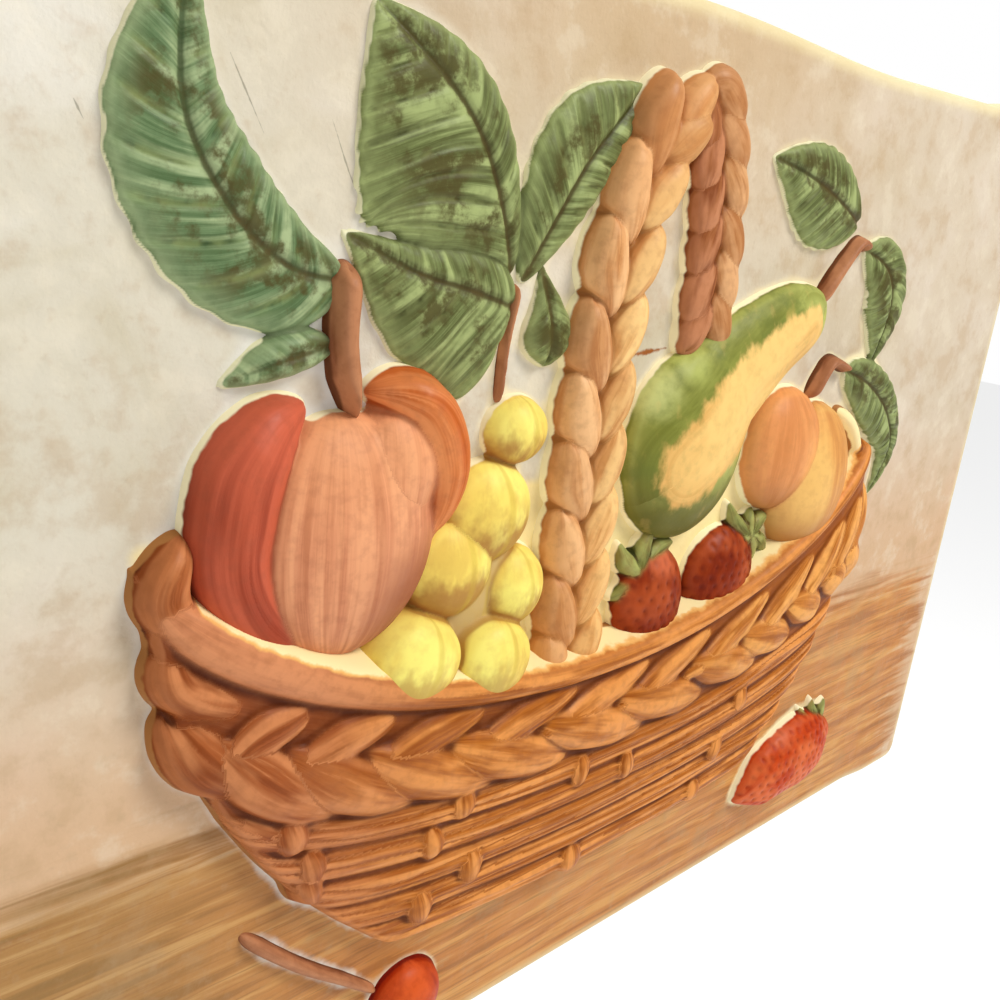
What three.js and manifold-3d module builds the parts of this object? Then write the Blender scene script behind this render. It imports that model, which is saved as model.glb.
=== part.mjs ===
// A moulded and hand-painted wall plaque: a basket of fruit in relief on a flat plate.
//
// The plaque is one solid. It is laid out flat, X to the right, Y up the plate and Z out
// of the wall, and stood up at the end so that the plate's height runs along +Z and the
// relief faces -Y. The origin is on the flat back, at the middle of the plate's width.
// All sizes are in millimetres.

import * as THREE from 'three';
import { mergeVertices } from 'three/addons/utils/BufferGeometryUtils.js';
import Module from 'manifold-3d';

// ---- the plate ---------------------------------------------------------------------

const PLATE = {
  width: 460,
  top: 143, // height of the straight parts of the top edge
  bottom: -151, // height of the straight parts of the bottom edge
  thickness: 9,
  corner: 7, // radius of the four corners
  hump: 5.4, // rise of the top edge in the middle
  humpReach: 120, // half the length of that rise
  flare: 2.4, // how far the corners drop and rise beyond the straight edges
  flareStart: 178,
  flareEnd: 205,
  softEdge: 3.5, // radius that the front edge is rounded to
};
const FACE = PLATE.thickness; // the ground that the relief stands on
const ROOT = 2; // depth that every figure is rooted into the plate

// ---- the basket --------------------------------------------------------------------

const BASKET = {
  centre: { rim: -10, foot: 0, curve: 0.6 },
  halfWidth: { rim: 140, foot: 86, curve: 1.85 },
  endHeight: { rim: 20, foot: -100, curve: 0.8 }, // where a row meets the outline
  midHeight: { rim: -33, foot: -104 }, // where a row hangs lowest
  sag: 1.4, // how sharply a row turns up towards its ends
  bulge: { edge: 3, crown: 10 }, // height of the wall under the weave
};
const RIM = { first: -0.84, last: 0.93, halfWidth: 4, endHalfWidth: 6, crown: 4.2 }; // first and last, across
// The rolled ends that the rim, the plait and the weave stop in at the left, one below the other.
const ROLLS = [
  { spine: [[-139, 25], [-144, 14], [-139, 2]], halfWidth: 6.6, crown: 8.5 },
  { spine: [[-143, 2], [-140, -8], [-122, -17]], halfWidth: 7, crown: 9 },
  { spine: [[-143, -15], [-134, -27], [-121, -38]], halfWidth: 9, crown: 9.5 },
  { spine: [[-131, -41], [-121, -49], [-107, -56]], halfWidth: 5.2, crown: 8.5 },
];
const PLAIT = {
  strands: 11,
  first: -0.66, // where the first strand lies across the basket, from -1 to 1
  last: 0.9,
  reach: 0.13, // half the length of a strand, as a share of the row
  upper: { from: 0.24, to: 0.08, halfWidth: 6 },
  lower: { from: 0.2, to: 0.4, halfWidth: 8 },
  crown: 4.8,
};
const WEAVE = {
  rows: [0.47, 0.6, 0.725, 0.85, 0.97],
  halfWidth: 5.4,
  endHalfWidth: 7.4,
  crown: 3.6,
};
const STAKE = { halfWidth: 4.2, halfHeight: 5.6, crown: 4.6 };
const STAKE_PLACES = [
  [-0.68, 0.46], [-0.69, 0.58], [-0.77, 0.67], [-0.31, 0.46], [-0.4, 0.6], [-0.35, 0.77], [-0.54, 0.88],
  [-0.07, 0.5], [0.04, 0.58], [-0.1, 0.98], [0.38, 0.56], [0.36, 0.77], [0.36, 0.97],
]; // each across and down the basket

// ---- the handle --------------------------------------------------------------------

const HANDLE = {
  front: {
    spine: [[-24.5, -40], [-24.5, 0], [-24.5, 45], [-22.5, 72], [-18.5, 92], [-12.5, 109], [-3, 124]],
    strands: 9,
    column: 6, // distance of each column of strands from the middle line
    slant: 4.6, // how far a strand leans in towards the middle line
    halfLength: 15,
    halfWidth: 6.6,
    lift: 2.5,
    crown: 7.5,
  },
  back: {
    spine: [[4, 127], [12, 119], [16.5, 104], [19, 88], [19.5, 72], [19.5, 57]],
    strands: 6,
    column: 5.6,
    slant: 4,
    halfLength: 11,
    halfWidth: 6.4,
    lift: 1,
    crown: 5.5,
  },
};

// ---- fruit, as centre, half sizes, height and tilt in degrees ------------------------

const PEACH = {
  middle: { at: [-102.5, 18.5], half: [26.5, 30], crown: 15, tilt: 0 },
  leftLobe: {
    spine: [[-112, 50], [-126, 39], [-129, 22], [-123, 4], [-107, -6]],
    halfWidth: 11,
    crown: 12,
  },
  rightLobe: {
    spine: [[-97, 53], [-84, 52], [-76, 41], [-75, 27], [-80, 12]],
    halfWidth: 8.5,
    crown: 13,
  },
};
const PEAR = {
  body: { at: [19, 28], half: [28, 30.5], crown: 13.5, tilt: 0 },
  neck: {
    spine: [[12, 28], [38, 48], [60, 61], [83, 67]],
    widths: [25, 21, 16, 12],
    crown: 11.5,
  },
};
const APRICOT = {
  far: { at: [91, 8.5], half: [23, 28.5], crown: 14, tilt: 0 },
  near: { at: [71, 21.5], half: [20.5, 22], crown: 12.5, tilt: 0 },
};
const BERRIES = [
  { at: [-51, 39], half: [10.5, 9.5], crown: 9, tilt: 0 },
  { at: [-59, 18.5], half: [15, 14.5], crown: 11, tilt: 0 },
  { at: [-70, 5.5], half: [14, 14.5], crown: 11, tilt: 0 },
  { at: [-48, -5], half: [12, 13], crown: 10.5, tilt: 0 },
  { at: [-81.5, -16], half: [14.2, 12.6], crown: 14, tilt: -12 },
  { at: [-56, -21.5], half: [12.6, 12], crown: 15, tilt: -8 },
];
const STRAWBERRIES = [
  { at: [12, -21], half: [15.5, 19], crown: 10.5, tilt: 8 },
  { at: [48, -19.5], half: [18, 17.5], crown: 10.5, tilt: -14 },
];
const LOOSE_STRAWBERRY = {
  spine: [[86, -124.5], [104, -117], [124, -113.5], [144, -114]],
  widths: [3, 15, 18, 14],
  crown: 11.5,
};
const CHERRY = { at: [-72, -129], half: [12.5, 12.5], crown: 9, tilt: 0 };

// Sepals lie round a centre: each has the direction and the length that it reaches.
const CALYXES = [
  { at: [1, -6], lift: 2.5, sepals: [[118, 9], [62, 12], [18, 18], [-28, 20], [-70, 16], [-112, 13]] },
  { at: [57, -4], lift: 3, sepals: [[150, 15], [178, 17], [212, 13], [62, 8], [-32, 17], [-62, 13]] },
  { at: [139, -104], lift: 2, sepals: [[146, 19], [118, 14], [60, 10], [-40, 12], [-78, 18]] },
];
const SEPAL = { halfWidth: 2.3, crown: 3.6 };

// ---- leaves, as a midrib and the greatest width on its left and right -----------------

const LEAVES = [
  { rib: [[-103, 75.5], [-118, 79], [-131, 90], [-139, 108], [-137, 136]], left: 17, right: 11, widest: 0.4 },
  { rib: [[-105, 62.5], [-118, 60], [-132, 54.5]], left: 4.2, right: 5.2, widest: 0.42 },
  { rib: [[-56, 77], [-63, 94], [-75, 112], [-99, 131]], left: 31, right: 10.5, widest: 0.56 },
  { rib: [[-56, 70], [-70, 74], [-86, 78], [-104.5, 86.5]], left: 25, right: 9, widest: 0.3 },
  { rib: [[-53, 75], [-45, 91], [-35, 107], [-16, 125]], left: 15, right: 10, widest: 0.55 },
  { rib: [[-50, 76], [-44, 66], [-40, 55]], left: 8, right: 6.5, widest: 0.6 },
  { rib: [[97, 96], [78, 103], [60, 109], [43, 113]], left: 17, right: 13, widest: 0.45 },
  { rib: [[105, 88], [119, 82], [126, 70], [125, 47]], left: 12.5, right: 13, widest: 0.5 },
  { rib: [[107, 46.5], [124, 40], [141, 28], [150, 13], [143, -7]], left: 10, right: 12, widest: 0.4 },
];
const LEAF = { edge: 1.6, crown: 4.6, groove: 1.1 };

// ---- stems, as a spine with the half width at each end and the height -----------------

const STEMS = [
  { spine: [[-104, 77], [-104, 63], [-100, 46]], halfWidths: [4.2, 2.6], crown: 8 },
  { spine: [[-54, 75], [-56.5, 62], [-57, 46]], halfWidths: [1.6, 1.3], crown: 3.5 },
  { spine: [[80, 70], [91, 83], [99, 90], [106, 88]], halfWidths: [3.2, 2.2], crown: 5 },
  { spine: [[86, 38], [90, 45], [96, 50], [108, 46.5]], halfWidths: [2.8, 2.2], crown: 5.5 },
  { spine: [[-124, -82], [-108, -99], [-93, -112], [-82, -122]], halfWidths: [2.4, 1.8], crown: 3.5 },
];

// ---- making closed solids -------------------------------------------------------------

const wasm = await Module();
wasm.setup();

/** A closed skin over a row of rings. The first and the last ring are a point or an upright edge. */
function loft(rings) {
  const positions = rings.flat().flatMap((point) => point.toArray());
  const indices = [];
  let start = 0;
  for (let row = 0; row + 1 < rings.length; row++) {
    const [near, far] = [rings[row].length, rings[row + 1].length];
    const count = Math.max(near, far);
    for (let k = 0; k < count; k++) {
      const next = (k + 1) % count;
      if (near > 1) indices.push(start + k, start + next, start + near + (far > 1 ? k : 0));
      if (far > 1) indices.push(start + (near > 1 ? next : 0), start + near + next, start + near + k);
    }
    start += near;
  }
  const geometry = new THREE.BufferGeometry();
  geometry.setAttribute('position', new THREE.Float32BufferAttribute(positions, 3));
  geometry.setIndex(signedVolume(positions, indices) < 0 ? indices.reverse() : indices);
  return geometry;
}

function signedVolume(positions, indices) {
  const corner = (i) => new THREE.Vector3().fromArray(positions, 3 * i);
  let sum = 0;
  for (let t = 0; t < indices.length; t += 3) {
    const [a, b, c] = [corner(indices[t]), corner(indices[t + 1]), corner(indices[t + 2])];
    sum += a.dot(b.cross(c)) / 6;
  }
  return sum;
}

/** The solid inside a skin, once its shared corners are welded and its empty faces dropped. */
function toSolid(geometry) {
  const welded = mergeVertices(geometry);
  const corners = welded.index.array;
  const faces = [];
  for (let t = 0; t < corners.length; t += 3) {
    const [a, b, c] = corners.slice(t, t + 3);
    if (a !== b && b !== c && c !== a) faces.push(a, b, c);
  }
  return new wasm.Manifold(new wasm.Mesh({
    numProp: 3,
    vertProperties: new Float32Array(welded.attributes.position.array),
    triVerts: new Uint32Array(faces),
  }));
}

function toGeometry(solid) {
  const mesh = solid.getMesh();
  const geometry = new THREE.BufferGeometry();
  geometry.setAttribute('position', new THREE.Float32BufferAttribute(mesh.vertProperties, 3));
  geometry.setIndex(new THREE.Uint32BufferAttribute(mesh.triVerts, 1));
  geometry.computeVertexNormals();
  return geometry;
}

/** The spine through a few points, as a smooth curve. */
function smooth(points) {
  return new THREE.SplineCurve(points.map(([x, y]) => new THREE.Vector2(x, y)));
}

/** A value read along a short list of values at even steps. */
function along(values, u) {
  const place = THREE.MathUtils.clamp(u, 0, 1) * (values.length - 1);
  const index = Math.min(Math.floor(place), values.length - 2);
  return THREE.MathUtils.lerp(values[index], values[index + 1], place - index);
}

/** Full in the middle and closed at both ends: 2 is an ellipse, more is blunter. */
function swell(u, blunt = 2.5) {
  return Math.sqrt(Math.max(0, 1 - Math.abs(2 * u - 1) ** blunt));
}

/** A rounded limb on the relief: half width and crown height are read along its spine. */
function limb({ curve, halfWidth, crown, lift = () => 0, foot = -ROOT, stations = 5, facets = 3 }) {
  const section = (u) => {
    const point = curve.getPointAt(u);
    const ahead = curve.getTangentAt(u);
    const place = (side, height) => new THREE.Vector3(
      point.x - ahead.y * side * halfWidth(u),
      point.y + ahead.x * side * halfWidth(u),
      FACE + height,
    );
    const ring = [place(-1, foot), place(1, foot)];
    for (let k = 0; k <= facets; k++) {
      const turn = (Math.PI * k) / facets;
      ring.push(place(Math.cos(turn), lift(u) + crown(u) * Math.sin(turn)));
    }
    return ring;
  };
  const rings = [];
  for (let i = 0; i <= stations; i++) rings.push(section((1 - Math.cos((Math.PI * i) / stations)) / 2));
  return loft(rings);
}

/** Half of an ellipsoid standing on the plate. */
function dome({ at, half, crown, tilt }, { around = 16, levels = 4, lift = 0 } = {}) {
  const lean = THREE.MathUtils.degToRad(tilt);
  const ring = (share, height) => Array.from({ length: around }, (_, k) => {
    const turn = (2 * Math.PI * k) / around;
    const spoke = new THREE.Vector2(half[0] * share * Math.cos(turn), half[1] * share * Math.sin(turn));
    spoke.rotateAround(new THREE.Vector2(), lean);
    return new THREE.Vector3(at[0] + spoke.x, at[1] + spoke.y, FACE + height);
  });
  const rings = [[new THREE.Vector3(at[0], at[1], FACE - ROOT)], ring(1, -ROOT)];
  for (let level = 0; level < levels; level++) {
    const rise = (Math.PI / 2) * (level / levels);
    rings.push(ring(Math.cos(rise), lift + crown * Math.sin(rise)));
  }
  return loft([...rings, [new THREE.Vector3(at[0], at[1], FACE + lift + crown)]]);
}

/** A leaf: two raised halves beside a sunken midrib, thin at the edge. */
function leaf({ rib, left, right, widest }) {
  const curve = smooth(rib);
  const peak = Math.log(0.5) / Math.log(widest);
  const spread = (u) => Math.sin(Math.PI * u ** peak) ** 0.7;
  const section = (u) => {
    const point = curve.getPointAt(u);
    const ahead = curve.getTangentAt(u);
    const rise = LEAF.edge + (LEAF.crown - LEAF.edge) * spread(u);
    const place = (side, height) => new THREE.Vector3(
      point.x - ahead.y * side * spread(u),
      point.y + ahead.x * side * spread(u),
      FACE + height,
    );
    return [
      place(-right, -ROOT), place(-right, LEAF.edge), place(-right / 2, rise),
      place(0, rise - LEAF.groove),
      place(left / 2, rise), place(left, LEAF.edge), place(left, -ROOT),
    ];
  };
  const rings = [[new THREE.Vector3(...rib[0], FACE + LEAF.edge / 2)]];
  const stations = 8;
  for (let i = 1; i < stations; i++) rings.push(section(i / stations));
  return loft([...rings, [new THREE.Vector3(...rib.at(-1), FACE + LEAF.edge / 2)]]);
}

// ---- the plate ---------------------------------------------------------------------

/** The plate's outline, drawn in by an inset: wavy long edges between round corners. */
function plateOutline(inset) {
  const { width, corner, hump, humpReach, flare, flareStart, flareEnd } = PLATE;
  const reach = width / 2 - corner;
  const flareAt = (x) => flare * THREE.MathUtils.smoothstep(Math.abs(x), flareStart, flareEnd);
  const humpAt = (x) => (Math.abs(x) < humpReach ? hump * Math.cos((Math.PI / 2) * (x / humpReach)) ** 2 : 0);
  const top = (x) => PLATE.top + flareAt(x) + humpAt(x) - inset;
  const bottom = (x) => PLATE.bottom - flareAt(x) + inset;
  const spans = [-1, -0.92, -0.84, -0.5, -0.33, -0.17, 0, 0.17, 0.33, 0.5, 0.84, 0.92, 1];
  const points = [];
  const addCorner = (x, y, from) => {
    const radius = corner - inset;
    for (let k = 1; k < 4; k++) {
      const turn = from + (Math.PI / 2) * (k / 4);
      points.push(new THREE.Vector2(x + radius * Math.cos(turn), y + radius * Math.sin(turn)));
    }
  };
  for (const share of spans) points.push(new THREE.Vector2(share * reach, bottom(share * reach)));
  addCorner(reach, bottom(reach) + corner - inset, -Math.PI / 2);
  points.push(new THREE.Vector2(width / 2 - inset, bottom(reach) + corner - inset));
  points.push(new THREE.Vector2(width / 2 - inset, top(reach) - corner + inset));
  addCorner(reach, top(reach) - corner + inset, 0);
  for (const share of spans) points.push(new THREE.Vector2(-share * reach, top(-share * reach)));
  addCorner(-reach, top(reach) - corner + inset, Math.PI / 2);
  points.push(new THREE.Vector2(inset - width / 2, top(reach) - corner + inset));
  points.push(new THREE.Vector2(inset - width / 2, bottom(reach) + corner - inset));
  addCorner(-reach, bottom(reach) + corner - inset, Math.PI);
  return points;
}

function plate() {
  const { softEdge, thickness } = PLATE;
  const level = (inset, height) => plateOutline(inset).map(({ x, y }) => new THREE.Vector3(x, y, height));
  const rings = [[new THREE.Vector3(3, 3, 0)], level(0.8, 0), level(0, 0.8)];
  for (let k = 0; k <= 2; k++) {
    const turn = (Math.PI / 2) * (k / 2);
    rings.push(level(softEdge * (1 - Math.cos(turn)), thickness - softEdge * (1 - Math.sin(turn))));
  }
  return loft([...rings, [new THREE.Vector3(3, 3, thickness)]]);
}

// ---- the basket --------------------------------------------------------------------

/** A place on the basket: across runs -1 to 1 along a row, down runs 0 at the rim to 1. */
function onBasket(across, down) {
  const mix = ({ rim, foot, curve = 1 }) => rim + (foot - rim) * down ** curve;
  const turn = across * (Math.PI / 2);
  const end = mix(BASKET.endHeight);
  const hang = Math.max(0, Math.cos(turn)) ** BASKET.sag;
  return new THREE.Vector2(
    mix(BASKET.centre) + mix(BASKET.halfWidth) * Math.sin(turn),
    end - (end - mix(BASKET.midHeight)) * hang,
  );
}

/** Height of the basket's wall under the weave. */
function wallHeight(across, down) {
  const { edge, crown } = BASKET.bulge;
  const rounding = Math.sqrt(Math.max(0, Math.cos(across * (Math.PI / 2))));
  return edge + (crown - edge) * rounding * (1 - 0.45 * down * down);
}

/** The row at one depth, as a curve from one place across the basket to another. */
function basketRow(down, first = -1, last = 1) {
  const steps = 14;
  const places = Array.from({ length: steps + 1 }, (_, i) => first + ((last - first) * i) / steps);
  return new THREE.SplineCurve(places.map((across) => onBasket(across, down)));
}

function basketWall() {
  const steps = 10;
  const rows = 4;
  const section = (down) => {
    const wall = [];
    const footing = [];
    for (let i = 0; i <= steps; i++) {
      const across = 0.97 * ((2 * i) / steps - 1);
      const point = onBasket(across, down);
      wall.push(new THREE.Vector3(point.x, point.y, FACE + wallHeight(across, down)));
      footing.unshift(new THREE.Vector3(point.x, point.y, FACE - ROOT));
    }
    return [...wall, ...footing];
  };
  const middle = (down) => {
    const point = onBasket(0, down);
    return [new THREE.Vector3(point.x, point.y, FACE)];
  };
  const rings = [middle(0.02)];
  for (let i = 0; i <= rows; i++) rings.push(section(0.02 + 0.98 * (i / rows)));
  return loft([...rings, middle(1)]);
}

function basketRim() {
  return limb({
    curve: basketRow(0, RIM.first, RIM.last),
    halfWidth: (u) => along([RIM.endHalfWidth, RIM.halfWidth, RIM.halfWidth, RIM.halfWidth], u) * swell(u, 14),
    crown: (u) => RIM.crown * swell(u, 14),
    lift: (u) => wallHeight(RIM.first + (RIM.last - RIM.first) * u, 0),
    stations: 12,
  });
}

/** The far side of the rim, seen where it comes round to the right end of the basket. */
function farRim() {
  return limb({
    curve: smooth([[106, 32], [117, 26], [124, 17], [125, 8]]),
    halfWidth: (u) => 3.4 * swell(u, 6),
    crown: (u) => 4.5 * swell(u, 6),
  });
}

/** The plait below the rim: an upper and a lower row of strands that lean against each other. */
function rimPlait() {
  const solids = [];
  for (const { from, to, halfWidth } of [PLAIT.upper, PLAIT.lower]) {
    for (let k = 0; k < PLAIT.strands; k++) {
      const across = PLAIT.first + ((PLAIT.last - PLAIT.first) * k) / (PLAIT.strands - 1);
      const start = onBasket(Math.max(-1, across - PLAIT.reach), from);
      const end = onBasket(Math.min(1, across + PLAIT.reach), to);
      const middle = onBasket(across, (from + to) / 2);
      solids.push(limb({
        curve: new THREE.SplineCurve([start, middle, end]),
        halfWidth: (u) => halfWidth * swell(u),
        crown: (u) => PLAIT.crown * swell(u, 3),
        lift: (u) => wallHeight(across + PLAIT.reach * (2 * u - 1), from) * (0.6 + 0.4 * swell(u, 4)),
      }));
    }
  }
  return solids;
}

function weaveRows() {
  return WEAVE.rows.map((down) => limb({
    curve: basketRow(down),
    halfWidth: (u) => along([WEAVE.endHalfWidth, WEAVE.halfWidth, WEAVE.endHalfWidth], u) * swell(u, 12),
    crown: (u) => WEAVE.crown * swell(u, 12),
    lift: (u) => wallHeight(2 * u - 1, down),
    stations: 11,
  }));
}

/** The upright stakes, which show as a short lump wherever they pass over a row. */
function stakes() {
  return STAKE_PLACES.map(([across, down]) => {
    const point = onBasket(across, down);
    const shape = {
      at: [point.x, point.y],
      half: [STAKE.halfWidth, STAKE.halfHeight],
      crown: STAKE.crown,
      tilt: -20 * across,
    };
    return dome(shape, { around: 6, levels: 2, lift: wallHeight(across, down) - 0.5 });
  });
}

function rolls() {
  return ROLLS.map(({ spine, halfWidth, crown }) => limb({
    curve: smooth(spine),
    halfWidth: (u) => halfWidth * swell(u),
    crown: (u) => crown * swell(u, 3),
    stations: 6,
    facets: 4,
  }));
}

// ---- the handle --------------------------------------------------------------------

/** Two columns of strands down a spine, leaning in to meet on its middle line. */
function plaitedHandle({ spine, strands, column, slant, halfLength, halfWidth, lift, crown }) {
  const curve = smooth(spine);
  const length = curve.getLength();
  const beside = (distance, side) => {
    const u = THREE.MathUtils.clamp(distance / length, 0, 1);
    const ahead = curve.getTangentAt(u);
    const point = curve.getPointAt(u);
    return new THREE.Vector2(point.x + ahead.y * side, point.y - ahead.x * side);
  };
  const solids = [];
  for (const side of [-1, 1]) {
    for (let k = 0; k < strands; k++) {
      const middle = ((k + 0.5 + 0.12 * side) * length) / strands;
      solids.push(limb({
        curve: new THREE.SplineCurve([
          beside(middle - halfLength, side * (column - slant)),
          beside(middle, side * column),
          beside(middle + halfLength, side * (column + slant * 0.2)),
        ]),
        halfWidth: (u) => halfWidth * swell(u),
        crown: (u) => crown * swell(u, 3),
        lift: () => lift,
      }));
    }
  }
  return solids;
}

// ---- fruit, leaves and stems ----------------------------------------------------------

function lobe({ spine, halfWidth, crown }) {
  return limb({
    curve: smooth(spine),
    halfWidth: (u) => halfWidth * swell(u, 2.2),
    crown: (u) => crown * swell(u, 2.6),
    stations: 9,
    facets: 5,
  });
}

function tapered({ spine, widths, crown }) {
  return limb({
    curve: smooth(spine),
    halfWidth: (u) => along(widths, u) * swell(u, 5),
    crown: (u) => crown * (along(widths, u) / Math.max(...widths)) ** 0.4 * swell(u, 5),
    stations: 9,
    facets: 6,
  });
}

function stem({ spine, halfWidths, crown }) {
  return limb({
    curve: smooth(spine),
    halfWidth: (u) => along(halfWidths, u) * swell(u, 10),
    crown: (u) => crown * swell(u, 10),
    stations: 6,
    facets: 3,
  });
}

function calyx({ at, lift, sepals }) {
  return sepals.map(([degrees, reach]) => {
    const turn = THREE.MathUtils.degToRad(degrees);
    const tip = [at[0] + reach * Math.cos(turn), at[1] + reach * Math.sin(turn)];
    const heart = [at[0] - 1.5 * Math.cos(turn), at[1] - 1.5 * Math.sin(turn)];
    return limb({
      curve: smooth([heart, tip]),
      halfWidth: (u) => SEPAL.halfWidth * swell(u, 2.2),
      crown: (u) => SEPAL.crown * (1 - 0.4 * u) * swell(u),
      lift: (u) => lift * (1 - 0.6 * u),
      stations: 3,
      facets: 2,
    });
  });
}

function fruit() {
  return [
    dome(PEACH.middle, { around: 20 }), lobe(PEACH.leftLobe), lobe(PEACH.rightLobe),
    dome(PEAR.body, { around: 20 }), tapered(PEAR.neck),
    dome(APRICOT.far, { around: 20 }), dome(APRICOT.near, { around: 20 }),
    ...BERRIES.map((berry) => dome(berry, { around: 12, levels: 3 })),
    ...STRAWBERRIES.map((berry) => dome(berry, { around: 14, levels: 3 })),
    tapered(LOOSE_STRAWBERRY),
    dome(CHERRY, { around: 12, levels: 3 }),
    ...CALYXES.flatMap(calyx),
  ];
}

// ---- the whole plaque ----------------------------------------------------------------

function plaqueGeometry() {
  const figures = [
    basketWall(), basketRim(), farRim(), ...rolls(), ...rimPlait(), ...weaveRows(), ...stakes(),
    ...plaitedHandle(HANDLE.back), ...plaitedHandle(HANDLE.front),
    ...fruit(), ...LEAVES.map(leaf), ...STEMS.map(stem),
  ];
  return toGeometry(figures.map(toSolid).reduce((whole, figure) => whole.add(figure), toSolid(plate())));
}

const plaque = new THREE.Mesh(
  plaqueGeometry(),
  new THREE.MeshStandardMaterial({ color: 0xd9bf9c, roughness: 0.45, metalness: 0 }),
);
plaque.name = 'plaque';
plaque.rotation.x = Math.PI / 2;

const object = new THREE.Group();
object.add(plaque);

export default object;
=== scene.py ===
"""A moulded, hand-painted wall plaque: a basket of fruit in relief, dressed round its CAD solid.

The relief is worked out as heights over the plate, in millimetres: x to the right, z up, and
a height that is 0 on the ground of the plate and rises towards -Y. Each figure is a closed mesh
rooted in the plate, painted by nodes that read where each point lies on its own form.
"""
import math

import bpy
import numpy as np
from mathutils import Matrix, Vector
from mathutils.geometry import delaunay_2d_cdt


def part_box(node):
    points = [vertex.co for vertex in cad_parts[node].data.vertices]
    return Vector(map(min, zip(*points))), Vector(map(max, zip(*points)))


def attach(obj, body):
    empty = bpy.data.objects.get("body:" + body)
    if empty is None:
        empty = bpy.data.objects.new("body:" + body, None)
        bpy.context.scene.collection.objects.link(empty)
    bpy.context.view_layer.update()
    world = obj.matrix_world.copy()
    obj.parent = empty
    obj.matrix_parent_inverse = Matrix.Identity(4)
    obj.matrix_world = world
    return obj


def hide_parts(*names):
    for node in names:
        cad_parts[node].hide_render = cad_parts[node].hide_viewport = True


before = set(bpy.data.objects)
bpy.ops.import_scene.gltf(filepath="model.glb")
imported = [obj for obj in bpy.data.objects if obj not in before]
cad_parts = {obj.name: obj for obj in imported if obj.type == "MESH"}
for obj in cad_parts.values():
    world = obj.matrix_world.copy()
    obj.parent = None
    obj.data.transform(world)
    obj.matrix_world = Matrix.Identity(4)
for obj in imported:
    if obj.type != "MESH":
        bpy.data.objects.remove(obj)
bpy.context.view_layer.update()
low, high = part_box("plaque")
MM = 0.001

# ---- sizes, the same as the solid's ----

FACE = 9.0  # thickness of the plate: the ground of the relief stands this far off the wall
SOFT_EDGE = 3.5  # radius of the plate's front edge
BACK_EDGE = 0.8
EDGE_STEPS = 5
FRONT_GRID, BACK_GRID = 1.45, 7.0
CORNER = 7.0
HUMP, HUMP_REACH = 5.4, 120.0
FLARE, FLARE_START, FLARE_END = 2.4, 178.0, 205.0
HALF_WIDTH = high.x / MM
TOP = high.z / MM - HUMP  # height of the straight parts of the top edge
BOTTOM = low.z / MM + FLARE
ROOT = 3.6  # how far every figure reaches into the plate
STEEP = 3.2  # slope of the figures' side walls
GRID = 0.42  # spacing of the places that a figure's heights are worked out at
SOFTNESS = 0.32  # radius that a casting rounds its relief to
CRISP = 0.28  # the same, where seeds, veins and stems are finer
NOTHING = -9.0  # height of a grid where no form lies
SUNK = -0.9  # a figure's front ends where it has sunk this far into the plate

BASKET_CENTRE = (-10.0, 0.0, 0.6)  # at the rim, at the foot, and the curve between
BASKET_HALF = (140.0, 86.0, 1.85)  # half width
BASKET_END = (20.0, -100.0, 0.8)  # height where a row meets the outline
BASKET_MID = (-33.0, -104.0, 1.0)  # height where a row hangs lowest
BASKET_SAG = 1.4
WALL_EDGE, WALL_CROWN = 3.0, 10.0
RIM_ENDS = (-0.84, 0.93)
ROLLS = [
    ([(-139, 25), (-144, 14), (-139, 2)], [5.2, 6.8, 6.0], 8.5),
    ([(-143, 3), (-141, -7), (-124, -17)], [6.8, 7.2, 5.0], 9.0),
    ([(-143, -14), (-135, -26), (-121, -38)], [8.2, 9.6, 6.5], 9.5),
    ([(-131, -41), (-121, -49), (-107, -56)], [4.8, 5.6, 3.6], 8.5),
]
ROWS = (0.47, 0.6, 0.725, 0.85, 0.97)
ROW_HALF = 0.064  # half the depth of a row of weave, as a share of the basket's depth
ROW_SWELL = 2.6  # how far the middle of a row stands out of its edges
ROW_SUNK = 1.6  # how far its edges lie inside the wall
CORDS = 3  # cords in a row of weave
CORD_HEIGHT, CORD_UNEVEN = 1.15, 0.85  # usual height of a cord, and how much that varies
CORD_WANDER = 0.42  # how far the cords stray up and down, as a share of half a row
PLAIT_STRANDS, PLAIT_ENDS = 11, (-0.66, 0.9)
PLAIT_CREASE = 1.8  # width of the soft crease round a strand or a stake
STAKE_PLACES = [
    (-0.68, 0.46), (-0.69, 0.58), (-0.77, 0.67), (-0.31, 0.46), (-0.4, 0.6), (-0.35, 0.77),
    (-0.54, 0.88), (-0.07, 0.5), (0.04, 0.58), (-0.1, 0.98), (0.38, 0.56), (0.36, 0.77), (0.36, 0.97),
]  # each across and down the basket

HANDLE_FRONT = [
    (-24.5, -40), (-24.5, 0), (-24.5, 45), (-22.5, 72), (-18.5, 92), (-12.5, 109), (-3, 124),
]
HANDLE_BACK = [(4, 127), (12, 119), (16.5, 104), (19, 88), (19.5, 72), (19.5, 57)]


# ---- curves and heights ----

def distances(line):
    """How far along a line each of its places is."""
    return np.concatenate([[0], np.cumsum(np.hypot(*np.diff(line, axis=0).T))])


def spline(points, spacing=1.0):
    """A smooth line through the points, with its distance from the start at each of its places."""
    p = np.array(points, float)
    count = 2 + int(np.hypot(*np.diff(p, axis=0).T).sum() / spacing)
    place = np.linspace(0, len(p) - 1, count)
    i = np.minimum(place.astype(int), len(p) - 2)
    t = (place - i)[:, None]
    before, a, b, after = p[np.maximum(i - 1, 0)], p[i], p[i + 1], p[np.minimum(i + 2, len(p) - 1)]
    slope_a, slope_b = (b - before) / 2, (after - a) / 2
    line = (
        (2 * a - 2 * b + slope_a + slope_b) * t ** 3
        + (-3 * a + 3 * b - 2 * slope_a - slope_b) * t ** 2
        + slope_a * t + a
    )
    return line, distances(line)


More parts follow.
